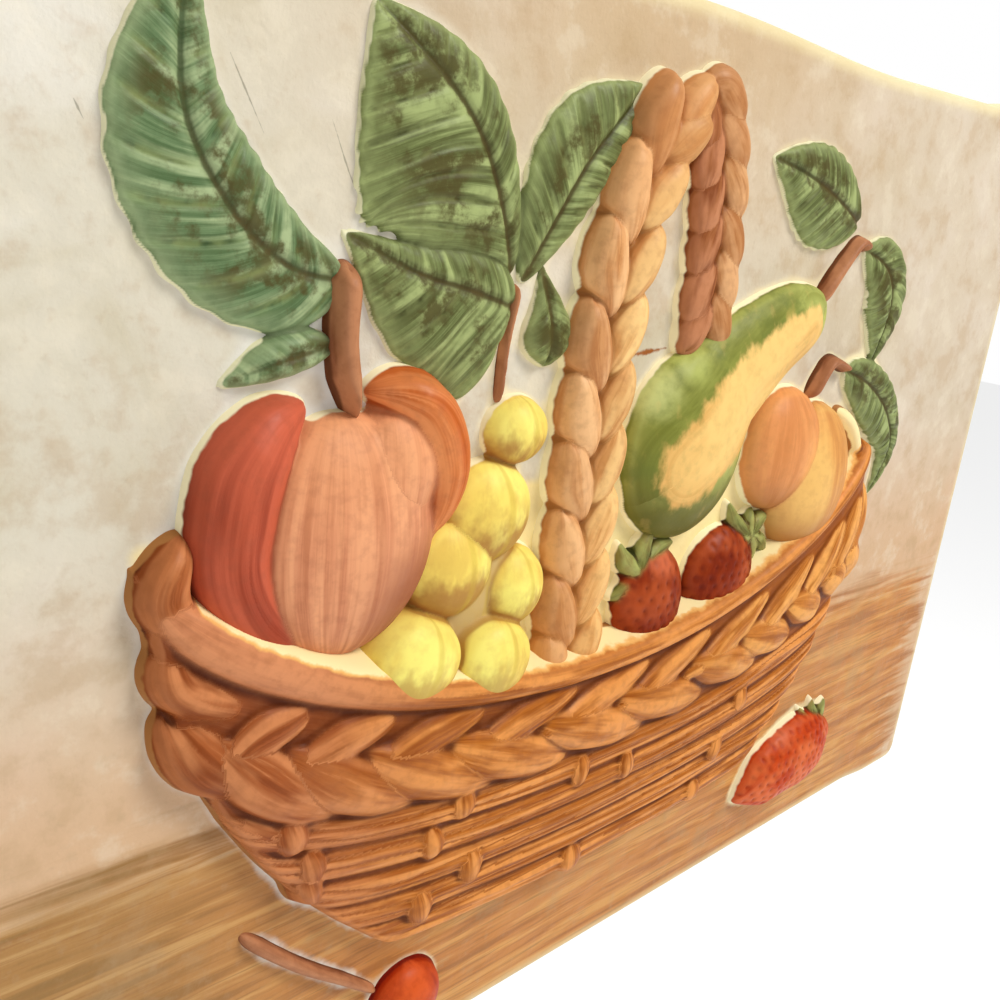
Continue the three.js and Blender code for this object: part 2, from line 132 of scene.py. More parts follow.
def along_values(values, u):
    """A value read along a short list of values at even steps."""
    return np.interp(u, np.linspace(0, 1, len(values)), values)


def swell(u, blunt=2.5):
    """Full in the middle and closed at both ends: 2 is an ellipse, more is blunter."""
    return np.sqrt(np.clip(1 - np.abs(2 * u - 1) ** blunt, 0, 1))


def smoothstep(x, low_edge, high_edge):
    t = np.clip((x - low_edge) / (high_edge - low_edge), 0, 1)
    return t * t * (3 - 2 * t)


def soft_max(a, b, k):
    """The higher of two heights, with the crease between them filled over a width of k."""
    meet = np.clip(k - np.abs(a - b), 0, None) / k
    return np.maximum(a, b) + meet * meet * k / 4


def lumps(x, z, size, seed):
    """Smooth uneven values between -1 and 1 over places, the same on every run."""
    lattice = np.random.default_rng(seed).uniform(-1, 1, (64, 64))
    a, b = x / size, z / size
    i, j = np.floor(a).astype(int), np.floor(b).astype(int)
    s, t = smoothstep(a - i, 0, 1), smoothstep(b - j, 0, 1)
    corner = lambda di, dj: lattice[(i + di) % 64, (j + dj) % 64]
    lower = corner(0, 0) * (1 - s) + corner(1, 0) * s
    upper = corner(0, 1) * (1 - s) + corner(1, 1) * s
    return lower * (1 - t) + upper * t


def nearest_on(line, reach, x, z):
    """For each place near a line: its distance, its share of the way along, its side."""
    distance = np.full(x.shape, np.inf)
    share, side = np.zeros(x.shape), np.ones(x.shape)
    for (ax, az), (bx, bz), start, stop in zip(line, line[1:], reach, reach[1:]):
        dx, dz = bx - ax, bz - az
        t = np.clip(((x - ax) * dx + (z - az) * dz) / max(dx * dx + dz * dz, 1e-9), 0, 1)
        here = np.hypot(x - ax - t * dx, z - az - t * dz)
        closer = here < distance
        distance = np.where(closer, here, distance)
        share = np.where(closer, (start + t * (stop - start)) / reach[-1], share)
        side = np.where(closer, np.sign(dx * (z - az) - dz * (x - ax)), side)
    return distance, share, side


def swept(line, reach, x, z, half):
    """The least offset from a line as a share of its half width, and the share along it there."""
    ratio, share = np.full(x.shape, np.inf), np.zeros(x.shape)
    for (px, pz), start in zip(line, reach):
        width = max(float(half(start / reach[-1])), 0.05)
        here = np.hypot(x - px, z - pz) / width
        closer = here < ratio
        ratio = np.where(closer, here, ratio)
        share = np.where(closer, start / reach[-1], share)
    return ratio, share


def arch(ratio):
    """A round section: 1 over its middle and 0 from its edge outwards."""
    return np.sqrt(np.clip(1 - ratio ** 2, 0, 1))


def rounded(ratio, crown, width):
    """Height of a round section, kept from standing steeper than the side walls."""
    return np.minimum(crown * arch(ratio), STEEP * (1 - ratio) * width)


class Form:
    """One rounded form of the relief: the box that it stays in and its heights over places."""

    def __init__(self, line, margin, shape):
        self.box = (*(np.min(line, axis=0) - margin), *(np.max(line, axis=0) + margin))
        self.shape = shape


def limb(points, half, crown, lift=None, blunt=2.5, crown_blunt=3.0):
    """A rounded limb along a spine. half and crown are one value or several along the spine."""
    halves, crowns = np.atleast_1d(half).astype(float), np.atleast_1d(crown).astype(float)
    line, reach = spline(points, 0.7)
    raise_by = lift or (lambda u: 0.0)

    def shape(x, z):
        width = lambda u: along_values(halves, u) * swell(u, blunt)
        ratio, u = swept(line, reach, x, z, width)
        rise = along_values(crowns, u) * swell(u, crown_blunt)
        height = raise_by(u) + rounded(ratio, rise, np.maximum(width(u), 0.6))
        _, share, side = nearest_on(line, reach, x, z)
        near = np.minimum(ratio, 1.2)
        return height, {
            "along": share * reach[-1], "across": side * near,
            "crown": arch(near),
        }

    return Form(line, halves.max() + 4, shape)


def dome(at, half, crown, tilt=0.0, lift=0.0):
    """Half of an ellipsoid. Its places are read as height on it and as meridian across it."""
    lean = math.radians(tilt)

    def shape(x, z):
        dx, dz = x - at[0], z - at[1]
        a = (dx * math.cos(lean) + dz * math.sin(lean)) / half[0]
        b = (-dx * math.sin(lean) + dz * math.cos(lean)) / half[1]
        ratio = np.hypot(a, b)
        meridian = a / np.sqrt(np.clip(1 - b ** 2, 0.06, 1))
        height = lift + rounded(ratio, crown, min(half))
        return height, {
            "along": b * half[1], "across": np.clip(meridian, -1.3, 1.3),
            "crown": arch(ratio),
        }

    return Form([at], max(half) + 4, shape)


class Relief:
    """The heights of one figure over a grid of places, and where each place is on its form."""

    def __init__(self, name, box, step=GRID):
        self.name, self.step = name, step
        across = np.arange(box[0], box[2] + step, step)
        up = np.arange(box[1], box[3] + step, step)
        self.x, self.z = np.meshgrid(across, up)
        self.height = np.full(self.x.shape, NOTHING)
        self.marks = {}

    def window(self, box):
        """The part of the grid inside a box."""
        def span(start, stop, first, count):
            begin = int(np.clip((start - first) / self.step, 0, count))
            return slice(begin, int(np.clip((stop - first) / self.step + 2, begin, count)))
        rows, columns = self.x.shape
        return (
            span(box[1], box[3], self.z[0, 0], rows),
            span(box[0], box[2], self.x[0, 0], columns),
        )

    def add(self, form, soft=0.5, **marks):
        """Lays a form over what is there: the higher wins, and the crease between is filled."""
        where = self.window(form.box)
        x, z = self.x[where], self.z[where]
        if not x.size:
            return
        height, places = form.shape(x, z)
        old = self.height[where]
        wins = height > old
        self.height[where] = soft_max(old, height, soft)
        self.mark(where, wins, {"tint": 0.5, **places, **marks})

    def mark(self, where, wins, marks):
        for name in {**self.marks, **marks}:
            held = self.marks.setdefault(name, np.zeros(self.x.shape))
            held[where] = np.where(wins, marks.get(name, 0.0), held[where])

    def blurred(self, values, size):
        """Values on the grid, softened over a size in millimetres."""
        size = size / self.step
        reach = max(1, int(round(2.5 * size)))
        kernel = np.exp(-0.5 * (np.arange(-reach, reach + 1) / size) ** 2)
        kernel /= kernel.sum()
        for axis, count in enumerate(values.shape):
            padded = np.pad(values, [(reach * (a == axis),) * 2 for a in (0, 1)], "edge")
            values = sum(w * np.take(padded, range(k, k + count), axis) for k, w in enumerate(kernel))
        return values

    def soften(self, size=SOFTNESS):
        """Rounds the relief off as a casting does, and marks its hollows and its foot."""
        self.height = self.blurred(np.maximum(self.height, -7.0), size)
        over = np.maximum(self.height, -0.5)
        self.marks["hollow"] = np.clip((self.blurred(over, 1.2) - over) / 0.7, -1, 1)
        self.marks["dip"] = np.clip((self.blurred(over, 3.2) - over) / 2.2, -1, 1)
        inside = self.blurred((self.height > 0.2) * 1.0, 0.9)
        self.marks["foot"] = 1 - smoothstep(inside, 0.55, 0.97)
        for name in set(self.marks) - {"along", "across", "tint", "hollow", "dip", "foot"}:
            self.marks[name] = self.blurred(self.marks[name], 0.5)
        return self

    def cover(self, x, z):
        """The figure's height at places off its grid."""
        column = np.rint((x - self.x[0, 0]) / self.step).astype(int)
        row = np.rint((z - self.z[0, 0]) / self.step).astype(int)
        rows, columns = self.x.shape
        inside = (row >= 0) & (row < rows) & (column >= 0) & (column < columns)
        found = self.height[np.clip(row, 0, rows - 1), np.clip(column, 0, columns - 1)]
        return np.where(inside, found, NOTHING)


# ---- closed meshes ----

def placed(name, data):
    """A new object, in the scene."""
    made = bpy.data.objects.new(name, data)
    bpy.context.scene.collection.objects.link(made)
    return made


def new_piece(name, places, faces, marks, material):
    """A mesh object from places in millimetres (x, height, z), riding on the plaque's body."""
    mesh = bpy.data.meshes.new(name)
    x, height, z = places
    mesh.from_pydata(np.column_stack([x, -(FACE + height), z]) * MM, [], faces)
    for mark, values in marks.items():
        layer = mesh.attributes.new(mark, "FLOAT", "POINT")
        layer.data.foreach_set("value", values.astype(np.float32))
    mesh.polygons.foreach_set("use_smooth", np.ones(len(mesh.polygons), bool))
    mesh.materials.append(material)
    piece = placed(name, mesh)
    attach(piece, "root")
    return piece


def kept_cells(height):
    """The cells of a grid that a figure fills: no pinholes, and none that only touch at a corner."""
    above = height > SUNK
    cells = above[:-1, :-1] | above[1:, :-1] | above[:-1, 1:] | above[1:, 1:]
    cells[0, :] = cells[-1, :] = cells[:, 0] = cells[:, -1] = False
    while True:
        a, b, c, d = cells[:-1, :-1], cells[:-1, 1:], cells[1:, :-1], cells[1:, 1:]
        pinched = (a & d & ~b & ~c) | (b & c & ~a & ~d)
        beside_it = sum(np.roll(cells, step, axis) * 1 for axis in (0, 1) for step in (-1, 1))
        gaps = (beside_it > 2) & ~cells
        if not pinched.any() and not gaps.any():
            return cells
        for grow in (a, b, c, d):
            grow |= pinched
        cells |= gaps


def figure(relief, material):
    """The closed mesh of a figure: its relief, its walls inside the plate and a flat bottom."""
    cells = kept_cells(relief.height)
    rows, columns = relief.x.shape
    index = np.arange(rows * columns).reshape(rows, columns)
    row, column = np.nonzero(cells)
    top = np.column_stack([
        index[row, column], index[row, column + 1],
        index[row + 1, column + 1], index[row + 1, column],
    ])
    edges = np.concatenate([top[:, [k, (k + 1) % 4]] for k in range(4)])
    code = edges[:, 0] * rows * columns + edges[:, 1]
    back = edges[:, 1] * rows * columns + edges[:, 0]
    border = edges[~np.isin(code, back)]

    used, top = np.unique(top, return_inverse=True)
    top = top.reshape(-1, 4)
    rim, walls = np.unique(border, return_inverse=True)
    walls = walls.reshape(-1, 2)
    rim_top = np.searchsorted(used, rim)
    count = len(used)
    x, z = relief.x.ravel(), relief.z.ravel()
    flat = [Vector((x[k], z[k])) for k in rim]
    bottom = delaunay_2d_cdt(flat, [tuple(edge) for edge in walls], [], 5, 1e-5)
    faces = top.tolist()
    faces += [[rim_top[b], rim_top[a], count + a, count + b] for a, b in walls]
    faces += [[count + k for k in reversed(upwards(bottom[0], face))] for face in bottom[2]]

    everywhere = np.concatenate([used, rim])
    height = np.concatenate([relief.height.ravel()[used], np.full(len(rim), -ROOT)])
    height[:count] = np.maximum(height[:count], 0.2 - ROOT)
    marks = {name: values.ravel()[everywhere] for name, values in relief.marks.items()}
    new_piece(relief.name, (x[everywhere], height, z[everywhere]), faces, marks, material)


def upwards(points, face):
    """A face's corners in the order that makes it face the front."""
    a, b, c = (points[k] for k in face[:3])
    turn = (b.x - a.x) * (c.y - a.y) - (b.y - a.y) * (c.x - a.x)
    return face if turn > 0 else list(reversed(face))


# ---- paint ----

def rgb(code):
    """A colour from its six hexadecimal digits, as light."""
    parts = [int(code[k:k + 2], 16) / 255 for k in (0, 2, 4)]
    return (*(p / 12.92 if p < 0.04045 else ((p + 0.055) / 1.055) ** 2.4 for p in parts), 1)


HALO = "fbf0c6"  # bare cream that shows round every figure


class Paint:
    """One painted plaster, built up in layers of colour."""

    def __init__(self, name):
        self.material = bpy.data.materials.new(name)
        self.material.use_nodes = True
        self.tree = self.material.node_tree
        self.shader = self.tree.nodes["Principled BSDF"]

    def feed(self, socket, value):
        if isinstance(value, bpy.types.NodeSocket):
            self.tree.links.new(value, socket)
        elif isinstance(value, str):
            socket.default_value = rgb(value)
        else:
            socket.default_value = value

    def node(self, kind, inputs, output=0, **settings):
        made = self.tree.nodes.new("ShaderNode" + kind)
        for name, value in settings.items():
            setattr(made, name, value)
        for name, value in inputs.items():
            self.feed(made.inputs[name], value)
        return made.outputs[output]

    def value(self, given):
        """What is given, or the mark of that name on the piece."""
        if isinstance(given, str):
            return self.node("Attribute", {}, "Fac", attribute_name=given)
        return given

    def math(self, operation, a, b=0.0, clamp=False):
        inputs = {0: self.value(a), 1: self.value(b)}
        return self.node("Math", inputs, operation=operation, use_clamp=clamp)

    def vector(self, operation, a, b, output=0):
        return self.node("VectorMath", {0: a, 1: b}, output, operation=operation)

    def times(self, a, b):
        return self.math("MULTIPLY", a, b)

    def plus(self, a, b):
        return self.math("ADD", a, b)

    def span(self, value, start, stop, to_start=0.0, to_stop=1.0):
        """A value carried from one range to another and held at its ends."""
        inputs = {
            "Value": self.value(value), "From Min": start, "From Max": stop,
            "To Min": to_start, "To Max": to_stop,
        }
        return self.node("MapRange", inputs, interpolation_type="SMOOTHSTEP")

    def over(self, share, under, upper, amount=None):
        """One colour laid over another by a share, or by an amount of that share."""
        if amount is not None:
            share = self.times(share, amount)
        made = self.tree.nodes.new("ShaderNodeMix")
        made.data_type = "RGBA"
        sockets = {s.identifier: s for s in [*made.inputs, *made.outputs]}
        layers = {"Factor_Float": self.value(share), "A_Color": under, "B_Color": upper}
        for name, value in layers.items():
            self.feed(sockets[name], value)
        return sockets["Result_Color"]

    def wash(self, under, upper, value, start, stop, most=1.0):
        """One colour laid over another, up to a share, where a value goes from start to stop."""
        return self.over(self.span(value, start, stop, 0.0, most), under, upper)

    def ramp(self, value, stops):
        made = self.tree.nodes.new("ShaderNodeValToRGB")
        made.color_ramp.interpolation = "EASE"
        elements = made.color_ramp.elements
        while len(elements) < len(stops):
            elements.new(0.5)
        for element, (place, colour) in zip(elements, stops):
            element.position, element.color = place, rgb(colour)
        self.feed(made.inputs[0], value)
        return made.outputs[0]

    def place(self, stretch=1):
        """Places on the plaque, in units of the stretch in millimetres, one value or x, y and z."""
        here = self.node("TexCoord", {}, "Object")
        scale = tuple(float(1 / (MM * s)) for s in np.broadcast_to(stretch, 3))
        return self.node("Mapping", {"Vector": here, "Scale": scale})

    def axis(self, number):
        """How far along x (0) or z (2) a place lies, in millimetres."""
        return self.node("SeparateXYZ", {0: self.place()}, number)

    def noise(self, where, detail=3.0, roughness=0.55, distortion=0.0):
        """Cloudy values over places, given as their vector or as the size of the clouds."""
        vector = where if isinstance(where, bpy.types.NodeSocket) else self.place(where)
        inputs = {
            "Vector": vector, "Scale": 1.0, "Detail": detail,
            "Roughness": roughness, "Distortion": distortion,
        }
        return self.node("TexNoise", inputs, "Fac")

    def bristles(self, length, width, offset=0.0, **noise):
        """Brush marks that run along the form: length in mm, width as a share of its half width."""
        along = self.math("DIVIDE", "along", length)
        across = self.math("DIVIDE", "across", width)
        turn = self.plus(self.times("tint", 37.0), offset)
        vector = self.node("CombineXYZ", {0: along, 1: across, 2: turn})
        return self.noise(vector, **noise)

    def finish(self, colour, bump, depth, gloss=0.36):
        """The thin satin lacquer over the paint."""
        fine = self.noise(1.1, detail=4.0)
        broad = self.noise(7.0, detail=3.0)
        dull = self.span(broad, 0.3, 0.7, gloss, gloss + 0.2)
        rough = self.plus(dull, self.times(fine, 0.08))
        grain = self.plus(self.times(fine, 0.35), self.times(bump, 0.65))
        raised = {"Strength": 0.6, "Distance": depth * MM, "Height": grain}
        normal = self.node("Bump", raised, "Normal")
        coated = {
            "Base Color": colour, "Roughness": rough, "Normal": normal,
            "Specular IOR Level": 0.12, "Coat Weight": 0.03, "Coat Roughness": 0.3,
        }
        for name, value in coated.items():
            self.feed(self.shader.inputs[name], value)
        return self.material

    def worn(self, colour, foot=HALO, reach=0.4):
        """The figure's paint stops short of the ground, where the bare cream shows."""
        ragged = self.span(self.noise(9, detail=2.0), 0.35, 0.65, -0.15, 0.1)
        edge = self.plus("foot", ragged)
        return self.over(self.span(edge, reach, reach + 0.3), colour, foot)

    def segment(self, start, stop, width):
        """How far a place is covered by one stroke of the brush between two places."""
        along = (stop[0] - start[0], 0, stop[1] - start[1])
        away = self.vector("SUBTRACT", self.place(), (start[0], 0, start[1]))
        flat = self.vector("MULTIPLY", away, (1, 0, 1))
        reach = self.vector("DOT_PRODUCT", flat, along, "Value")
        share = self.math("DIVIDE", reach, along[0] ** 2 + along[2] ** 2, clamp=True)
        foot = self.node("VectorMath", {0: along, "Scale": share}, operation="SCALE")
        gap = self.vector("DISTANCE", flat, foot, "Value")
        gap = self.plus(gap, self.times(self.noise(1.5), width))
        taper = self.times(self.math("ABSOLUTE", self.math("SUBTRACT", share, 0.4)), 0.9 * width)
        return self.span(self.plus(gap, taper), 1.3 * width, 0.75 * width)

    def spot(self, at, reach):
        """A soft-edged round area of paint about a place."""
        flat = self.vector("MULTIPLY", self.place(), (1, 0, 1))
        gap = self.vector("DISTANCE", flat, (at[0], 0, at[1]), "Value")
        gap = self.plus(gap, self.times(self.noise(6, detail=4.0), 0.5 * reach))
        return self.span(gap, 1.25 * reach, 0.5 * reach)

    def mottled(self, colour, dark, amount=0.25, size=3.0):
        cloud = self.span(self.noise(size, detail=4.0), 0.42, 0.72)
        return self.over(self.times(cloud, amount), colour, dark)

    def brushed(self, tones, length, width, hollow=0.85, offset=0.0, rim=0.5):
        """Light, base, dark and deep tones streaked along the form; painted highlight on the crown,
        painted shade in hollows.
        """
        light, base, dark, deep = tones
        fine = self.bristles(length, width, offset, detail=5.0, roughness=0.65)
        wide = self.bristles(length * 1.3, width * 3.5, offset + 5, detail=3.0)
        colour = self.wash(base, dark, fine, 0.42, 0.6, 0.8)
        # Painted highlight: the light tone laid on the crown of the form.
        lit = self.plus(wide, self.times("crown", 0.16))
        colour = self.wash(colour, light, lit, 0.55, 0.74)
        colour = self.wash(colour, light, fine, 0.42, 0.3, 0.6)
        # Painted shade: the dark tone towards the form's edges; painted highlight: the light tone on
        # its ridges.
        colour = self.wash(colour, dark, "crown", 0.6, 0.0, rim)
        colour = self.wash(colour, light, "hollow", -0.12, -0.7, 0.5)
        # Painted shade: the deep tone in broad dips and in the hollows between forms.
        colour = self.wash(colour, deep, "dip", 0.02, 0.7, hollow * 0.8)
        return self.wash(colour, deep, "hollow", 0.08, 0.6, hollow)

    def done(self, colour, dark, amount, length, width, depth=0.2):
        """Mottled, worn at the foot, and lacquered over the grain of the brush."""
        colour = self.worn(self.mottled(colour, dark, amount))
        return self.finish(colour, self.bristles(length, width), depth)


def plain_paint(name, tones, length, width):
    """Paint in four tones, brushed along the form, with painted shade in its hollows."""
    paint = Paint(name)
    colour = paint.mottled(paint.brushed(tones, length, width), tones[2])
    return paint.finish(colour, paint.bristles(length, width), 0.25)


# ---- the basket ----

def between(ends, down):
    start, stop, curve = ends
    return start + (stop - start) * np.sign(down) * np.abs(down) ** curve


def on_basket(across, down):
    """A place on the basket: across runs -1 to 1 along a row, down runs 0 at the rim to 1."""
    turn = np.asarray(across) * math.pi / 2
    end = between(BASKET_END, down)
    hang = np.clip(np.cos(turn), 0, 1) ** BASKET_SAG
    return np.array([
        between(BASKET_CENTRE, down) + between(BASKET_HALF, down) * np.sin(turn),
        end - (end - between(BASKET_MID, down)) * hang,
    ])


def wall_height(across, down):
    turn = np.clip(across, -1, 1) * math.pi / 2
    bulge = (WALL_CROWN - WALL_EDGE) * np.sqrt(np.clip(np.cos(turn), 0, 1))
    return WALL_EDGE + bulge * (1 - 0.45 * down * down)


def basket_places(x, z):
    """Across and down for places on the plate, and how far out of the basket's outline they are."""
    above, below = np.full(x.shape, -0.3), np.full(x.shape, 1.25)
    sine = lambda down: (x - between(BASKET_CENTRE, down)) / between(BASKET_HALF, down)
    for _ in range(22):
        down = (above + below) / 2
        end = between(BASKET_END, down)
        hang = np.clip(1 - sine(down) ** 2, 0, 1) ** (BASKET_SAG / 2)
        lower = end - (end - between(BASKET_MID, down)) * hang > z
        above, below = np.where(lower, down, above), np.where(lower, below, down)
    reach = sine(down)
    return np.arcsin(np.clip(reach, -1, 1)) * 2 / math.pi, down, np.abs(reach)


def weave(relief):
    """The wall of the basket and its rows, each of a few cords that wander and thicken."""
    x, z = relief.x, relief.z
    across, down, reach = basket_places(x, z)
    wall = wall_height(across, np.clip(down, 0, 1))
    half_width = between(BASKET_HALF, np.clip(down, 0, 1))
    side = STEEP * (1.0 - reach) * half_width
    bottom = STEEP * (1.02 - down) * 74
    sine = np.clip((x - BASKET_CENTRE[0]) / BASKET_HALF[0], -1, 1)
    rim = BASKET_END[0] - (BASKET_END[0] - BASKET_MID[0]) * (1 - sine ** 2) ** (BASKET_SAG / 2)
    height = np.minimum.reduce([wall, side + 1.0, bottom + 2.0, STEEP * (rim - z) + 4.0])
    relief.height = np.maximum(relief.height, height)
    everywhere = (slice(None), slice(None))
    relief.mark(everywhere, height > NOTHING, {"along": x, "across": down * 12, "tint": 0.4})
    for number, row in enumerate(ROWS):
        wander = CORD_WANDER * lumps(across * 60 + number * 31, z * 0 + number * 7.3, 15, 5)
        inside = (down - row) / ROW_HALF
        warped = inside + wander * (1 - inside ** 2)
        cord = np.clip(np.floor((warped + 1) / 2 * CORDS), 0, CORDS - 1)
        ratio = np.abs(warped - (2 * cord + 1) / CORDS + 1) * CORDS
        thick = CORD_HEIGHT + CORD_UNEVEN * lumps(across * 90 + 40 * cord, z * 0 + number * 3.1, 14, 6)
        ends = np.sqrt(np.clip((0.99 - np.abs(across)) * 12, 0, 1))
        swollen = ROW_SWELL * arch(inside)
        cords = thick * (arch(ratio) - 0.5)
        rise = wall_height(across, row) - ROW_SUNK + (swollen + cords) * ends
        rise = np.minimum(rise, side + 2.2)
        rise = np.where((np.abs(inside) < 1) & (reach < 1.02), rise, NOTHING)
        wins = rise > relief.height
        relief.height = np.maximum(relief.height, rise)
        tint = 0.5 + 0.5 * np.sin(1.7 * cord + 2.9 * number)
        places = {"along": across * half_width, "across": inside * 1.5, "tint": tint}
        relief.mark(everywhere, wins, {**places, "crown": arch(ratio)})
    return relief


def strand(relief, across, first, last, reach, half, crown, rng, **marks):
    """One strand of the plait, laid along the basket from one depth to another."""
    start, stop = max(-1, across - reach), min(1, across + reach)
    spine = [on_basket(start, first), on_basket(across, (first + last) / 2), on_basket(stop, last)]

    def lift(u):
        wall = wall_height(across + reach * (2 * u - 1), first)
        return wall * (0.75 + 0.25 * swell(u, 4)) - 1.8 * u

    form = limb(spine, half, crown, lift, blunt=2.2)
    relief.add(form, PLAIT_CREASE, tint=rng.uniform(), strand=1.0, **marks)


def plait(relief):
    """Below the rim: two rows of strands that lean against each other."""
    rng = np.random.default_rng(11)
    steps = np.linspace(*PLAIT_ENDS, PLAIT_STRANDS)
    for across in steps[::-1]:
        across += rng.uniform(-0.012, 0.012)
        strand(relief, across, 0.2, 0.4, 0.12, [6.5, 8.4, 7.4, 4.0], [4.6, 5.2, 3.4], rng)
    for across in steps:
        across += rng.uniform(-0.012, 0.012)
        strand(relief, across, 0.26, 0.07, 0.13, [3.6, 6.2, 4.6], 4.0, rng)


def basket():
    relief = Relief("basket", (-157, -117, 135, 42), 0.52)
    weave(relief)
    rng = np.random.default_rng(7)
    # The stakes, which show as a short lump wherever they pass over a row.
    for across, down in STAKE_PLACES:
        lift = wall_height(across, down) - 0.8
        half = (rng.uniform(3.8, 5.0), rng.uniform(5.0, 6.6))
        stake = dome(on_basket(across, down), half, 3.8, -20 * across, lift)
        relief.add(stake, PLAIT_CREASE, tint=rng.uniform())
    plait(relief)
    # The rim, the rolls that it ends in at the left, and its far side at the right.
    first, last = RIM_ENDS
    line = [on_basket(across, 0) for across in np.linspace(first, last, 15)]
    lift = lambda u: wall_height(first + (last - first) * u, 0) * (0.86 + 0.14 * abs(2 * u - 1))
    near = limb(line, [6.4, 5.6, 4.2, 3.8, 3.8, 4.2], [4.5, 4.2, 3.6], lift, 14, 14)
    relief.add(near, 1.0, tint=0.2, rim=1.0)
    for number, (spine, half, crown) in reversed(list(enumerate(ROLLS))):
        relief.add(limb(spine, half, crown, None, 2.4), 1.3, tint=0.3 * number)
    far = limb([(106, 32), (117, 26), (124, 17), (125, 8)], 3.4, 4.5, None, 6, 6)
    relief.add(far, 0.5, tint=0.6, rim=1.0)
    # The cream inside of the rim, which looks up.
    line = np.concatenate([[(-132, 30)], spline(line, 2.0)[0][4:]])
    distance, _, side = nearest_on(line, distances(line), relief.x, relief.z)
    relief.marks["lip"] = smoothstep(distance * side, 2.4, 4.6)
    return relief.soften(0.55)


# ---- the handle ----

def beside(line, reach, distance, side):
    """A place off to one side of a line, at a distance along it."""
    distance = np.clip(distance, 0, reach[-1])
    point = np.array([np.interp(distance, reach, line[:, k]) for k in (0, 1)])
    ahead = np.array([np.interp(distance, reach[:-1], d) for d in np.diff(line, axis=0).T])
    ahead /= np.hypot(*ahead)
    return point + side * np.array([ahead[1], -ahead[0]])


def plaited(relief, spine, strands, column, slant, half_length, half, lift, crown, rng, **marks):
    """Two columns of strands down a spine, each running in from its edge to the middle line."""
    line, reach = spline(spine)
    for k in reversed(range(strands)):
        for side in (-1, 1):
            middle = (k + 0.5 + 0.12 * side) * reach[-1] / strands + rng.uniform(-1, 1)
            points = [
                beside(line, reach, middle - half_length, side * (column - slant)),
                beside(line, reach, middle, side * column),
                beside(line, reach, middle + half_length * 0.85, side * (column + slant * 0.45)),
            ]
            rise = lambda u: lift + 1.8 * (u - 0.5)
            form = limb(points, np.array(half), crown, rise, 2.3)
            relief.add(form, 1.5, tint=rng.uniform(), side=0.5 + 0.5 * side, **marks)


def handle():
    relief = Relief("handle", (-48, -52, 42, 142))
    rng = np.random.default_rng(12)
    plaited(relief, HANDLE_BACK, 6, 5.6, 5.2, 10.5, [4.2, 6.8, 5.4], 1, 5.5, rng, far=1.0)
    plaited(relief, HANDLE_FRONT, 9, 6.0, 5.6, 13.5, [4.2, 7.4, 5.2], 2.5, 7.2, rng)
    # The strand that crosses the top from the near half to the far one.
    crossing = limb([(-8, 113), (-1, 121.5), (6.5, 129)], [4.5, 6.2, 4.6], 6.5, lambda u: 2.5 - u)
    relief.add(crossing, 0.9, tint=0.35, side=0.3)
    return relief.soften()


# ---- fruit ----

def peach():
    relief = Relief("peach", (-145, -22, -55, 65))
    relief.add(dome((-102.5, 18.5), (26.5, 30), 15), tint=0.5)
    left = [
        (-112, 50), (-120.5, 46), (-126.5, 38), (-129, 27),
        (-129, 17), (-125, 7), (-118, -1), (-105, -8),
    ]
    width = [5, 9, 11, 11, 10.5, 9.5, 7.5, 4]
    relief.add(limb(left, width, [8, 12, 12, 11, 9, 5], None, 5, 5), 0.5, tint=0.1, left=1.0)
    relief.add(dome((-90, 34), (13, 16), 13), 2.0, tint=0.5)
    right = [(-97.5, 52), (-91, 52), (-84, 49), (-79.5, 42), (-77, 33), (-77.5, 23), (-80.5, 13)]
    width = [4.4, 7.4, 9, 9.2, 8, 5.6, 2.4]
    relief.add(limb(right, width, [9, 12.5, 13.5, 13, 11, 8], None, 4, 4), 2.4, tint=0.8, right=1.0)
    return relief.soften()


def pear():
    relief = Relief("pear", (-12, -6, 100, 84))
    relief.add(dome((19, 28), (28, 30.5), 13.5), tint=0.3)
    neck = [(12, 28), (38, 48), (60, 61), (83, 67)]
    crown = [11.5 * (w / 25) ** 0.4 for w in (25, 21, 16, 12)]
    relief.add(limb(neck, [25, 21, 16, 12], crown, None, 5, 5), 5.0, tint=0.3)
    spine, reach = spline([(12, 24), (25, 34), (47, 49), (71, 62)])
    distance, share, side = nearest_on(spine, reach, relief.x, relief.z)
    ratio = distance / along_values([12.5, 15, 13, 9.5], share)
    relief.marks["flank"] = 1 - smoothstep(ratio, 0.65, 1.2)
    relief.marks["along"] = share * reach[-1]
    relief.marks["across"] = side * np.clip(distance / 16, 0, 3)
    return relief.soften()


def apricot():
    relief = Relief("apricot", (48, -22, 118, 50))
    relief.add(dome((71, 21.5), (20.5, 22), 12.5), tint=0.7, near=1.0)
    relief.add(dome((91, 8.5), (23, 28.5), 14), 1.6, tint=0.3)
    return relief.soften()


BERRIES = [
    ((-51, 39), (10.5, 9.5), 9, 0, 0),
    ((-59, 18.5), (15, 14.5), 11, 0, 0),
    ((-70, 5.5), (14, 14.5), 11, 0, 0),
    ((-48, -4), (11.6, 12.4), 10.5, 0, 0),
    ((-81.5, -16), (14, 12.4), 8.5, -12, 6),
    ((-56, -21.5), (12.6, 11.8), 8.5, -8, 6.4),
]


def grapes():
    """Six grapes, which touch, and the shaded stalk side of the bunch that fills their gaps."""
    relief = Relief("grapes", (-97, -48, -28, 56))
    bunch = [(-52, 34), (-60, 14), (-60, -8), (-66, -24)]
    relief.add(limb(bunch, [7, 10, 13, 11], 5.5, None, 4, 4), tint=0.9, between=1.0)
    for number, (at, half, crown, tilt, lift) in enumerate(BERRIES):
        relief.add(dome(at, half, crown, tilt, lift), 0.8, tint=number / 6)
    return relief.soften()


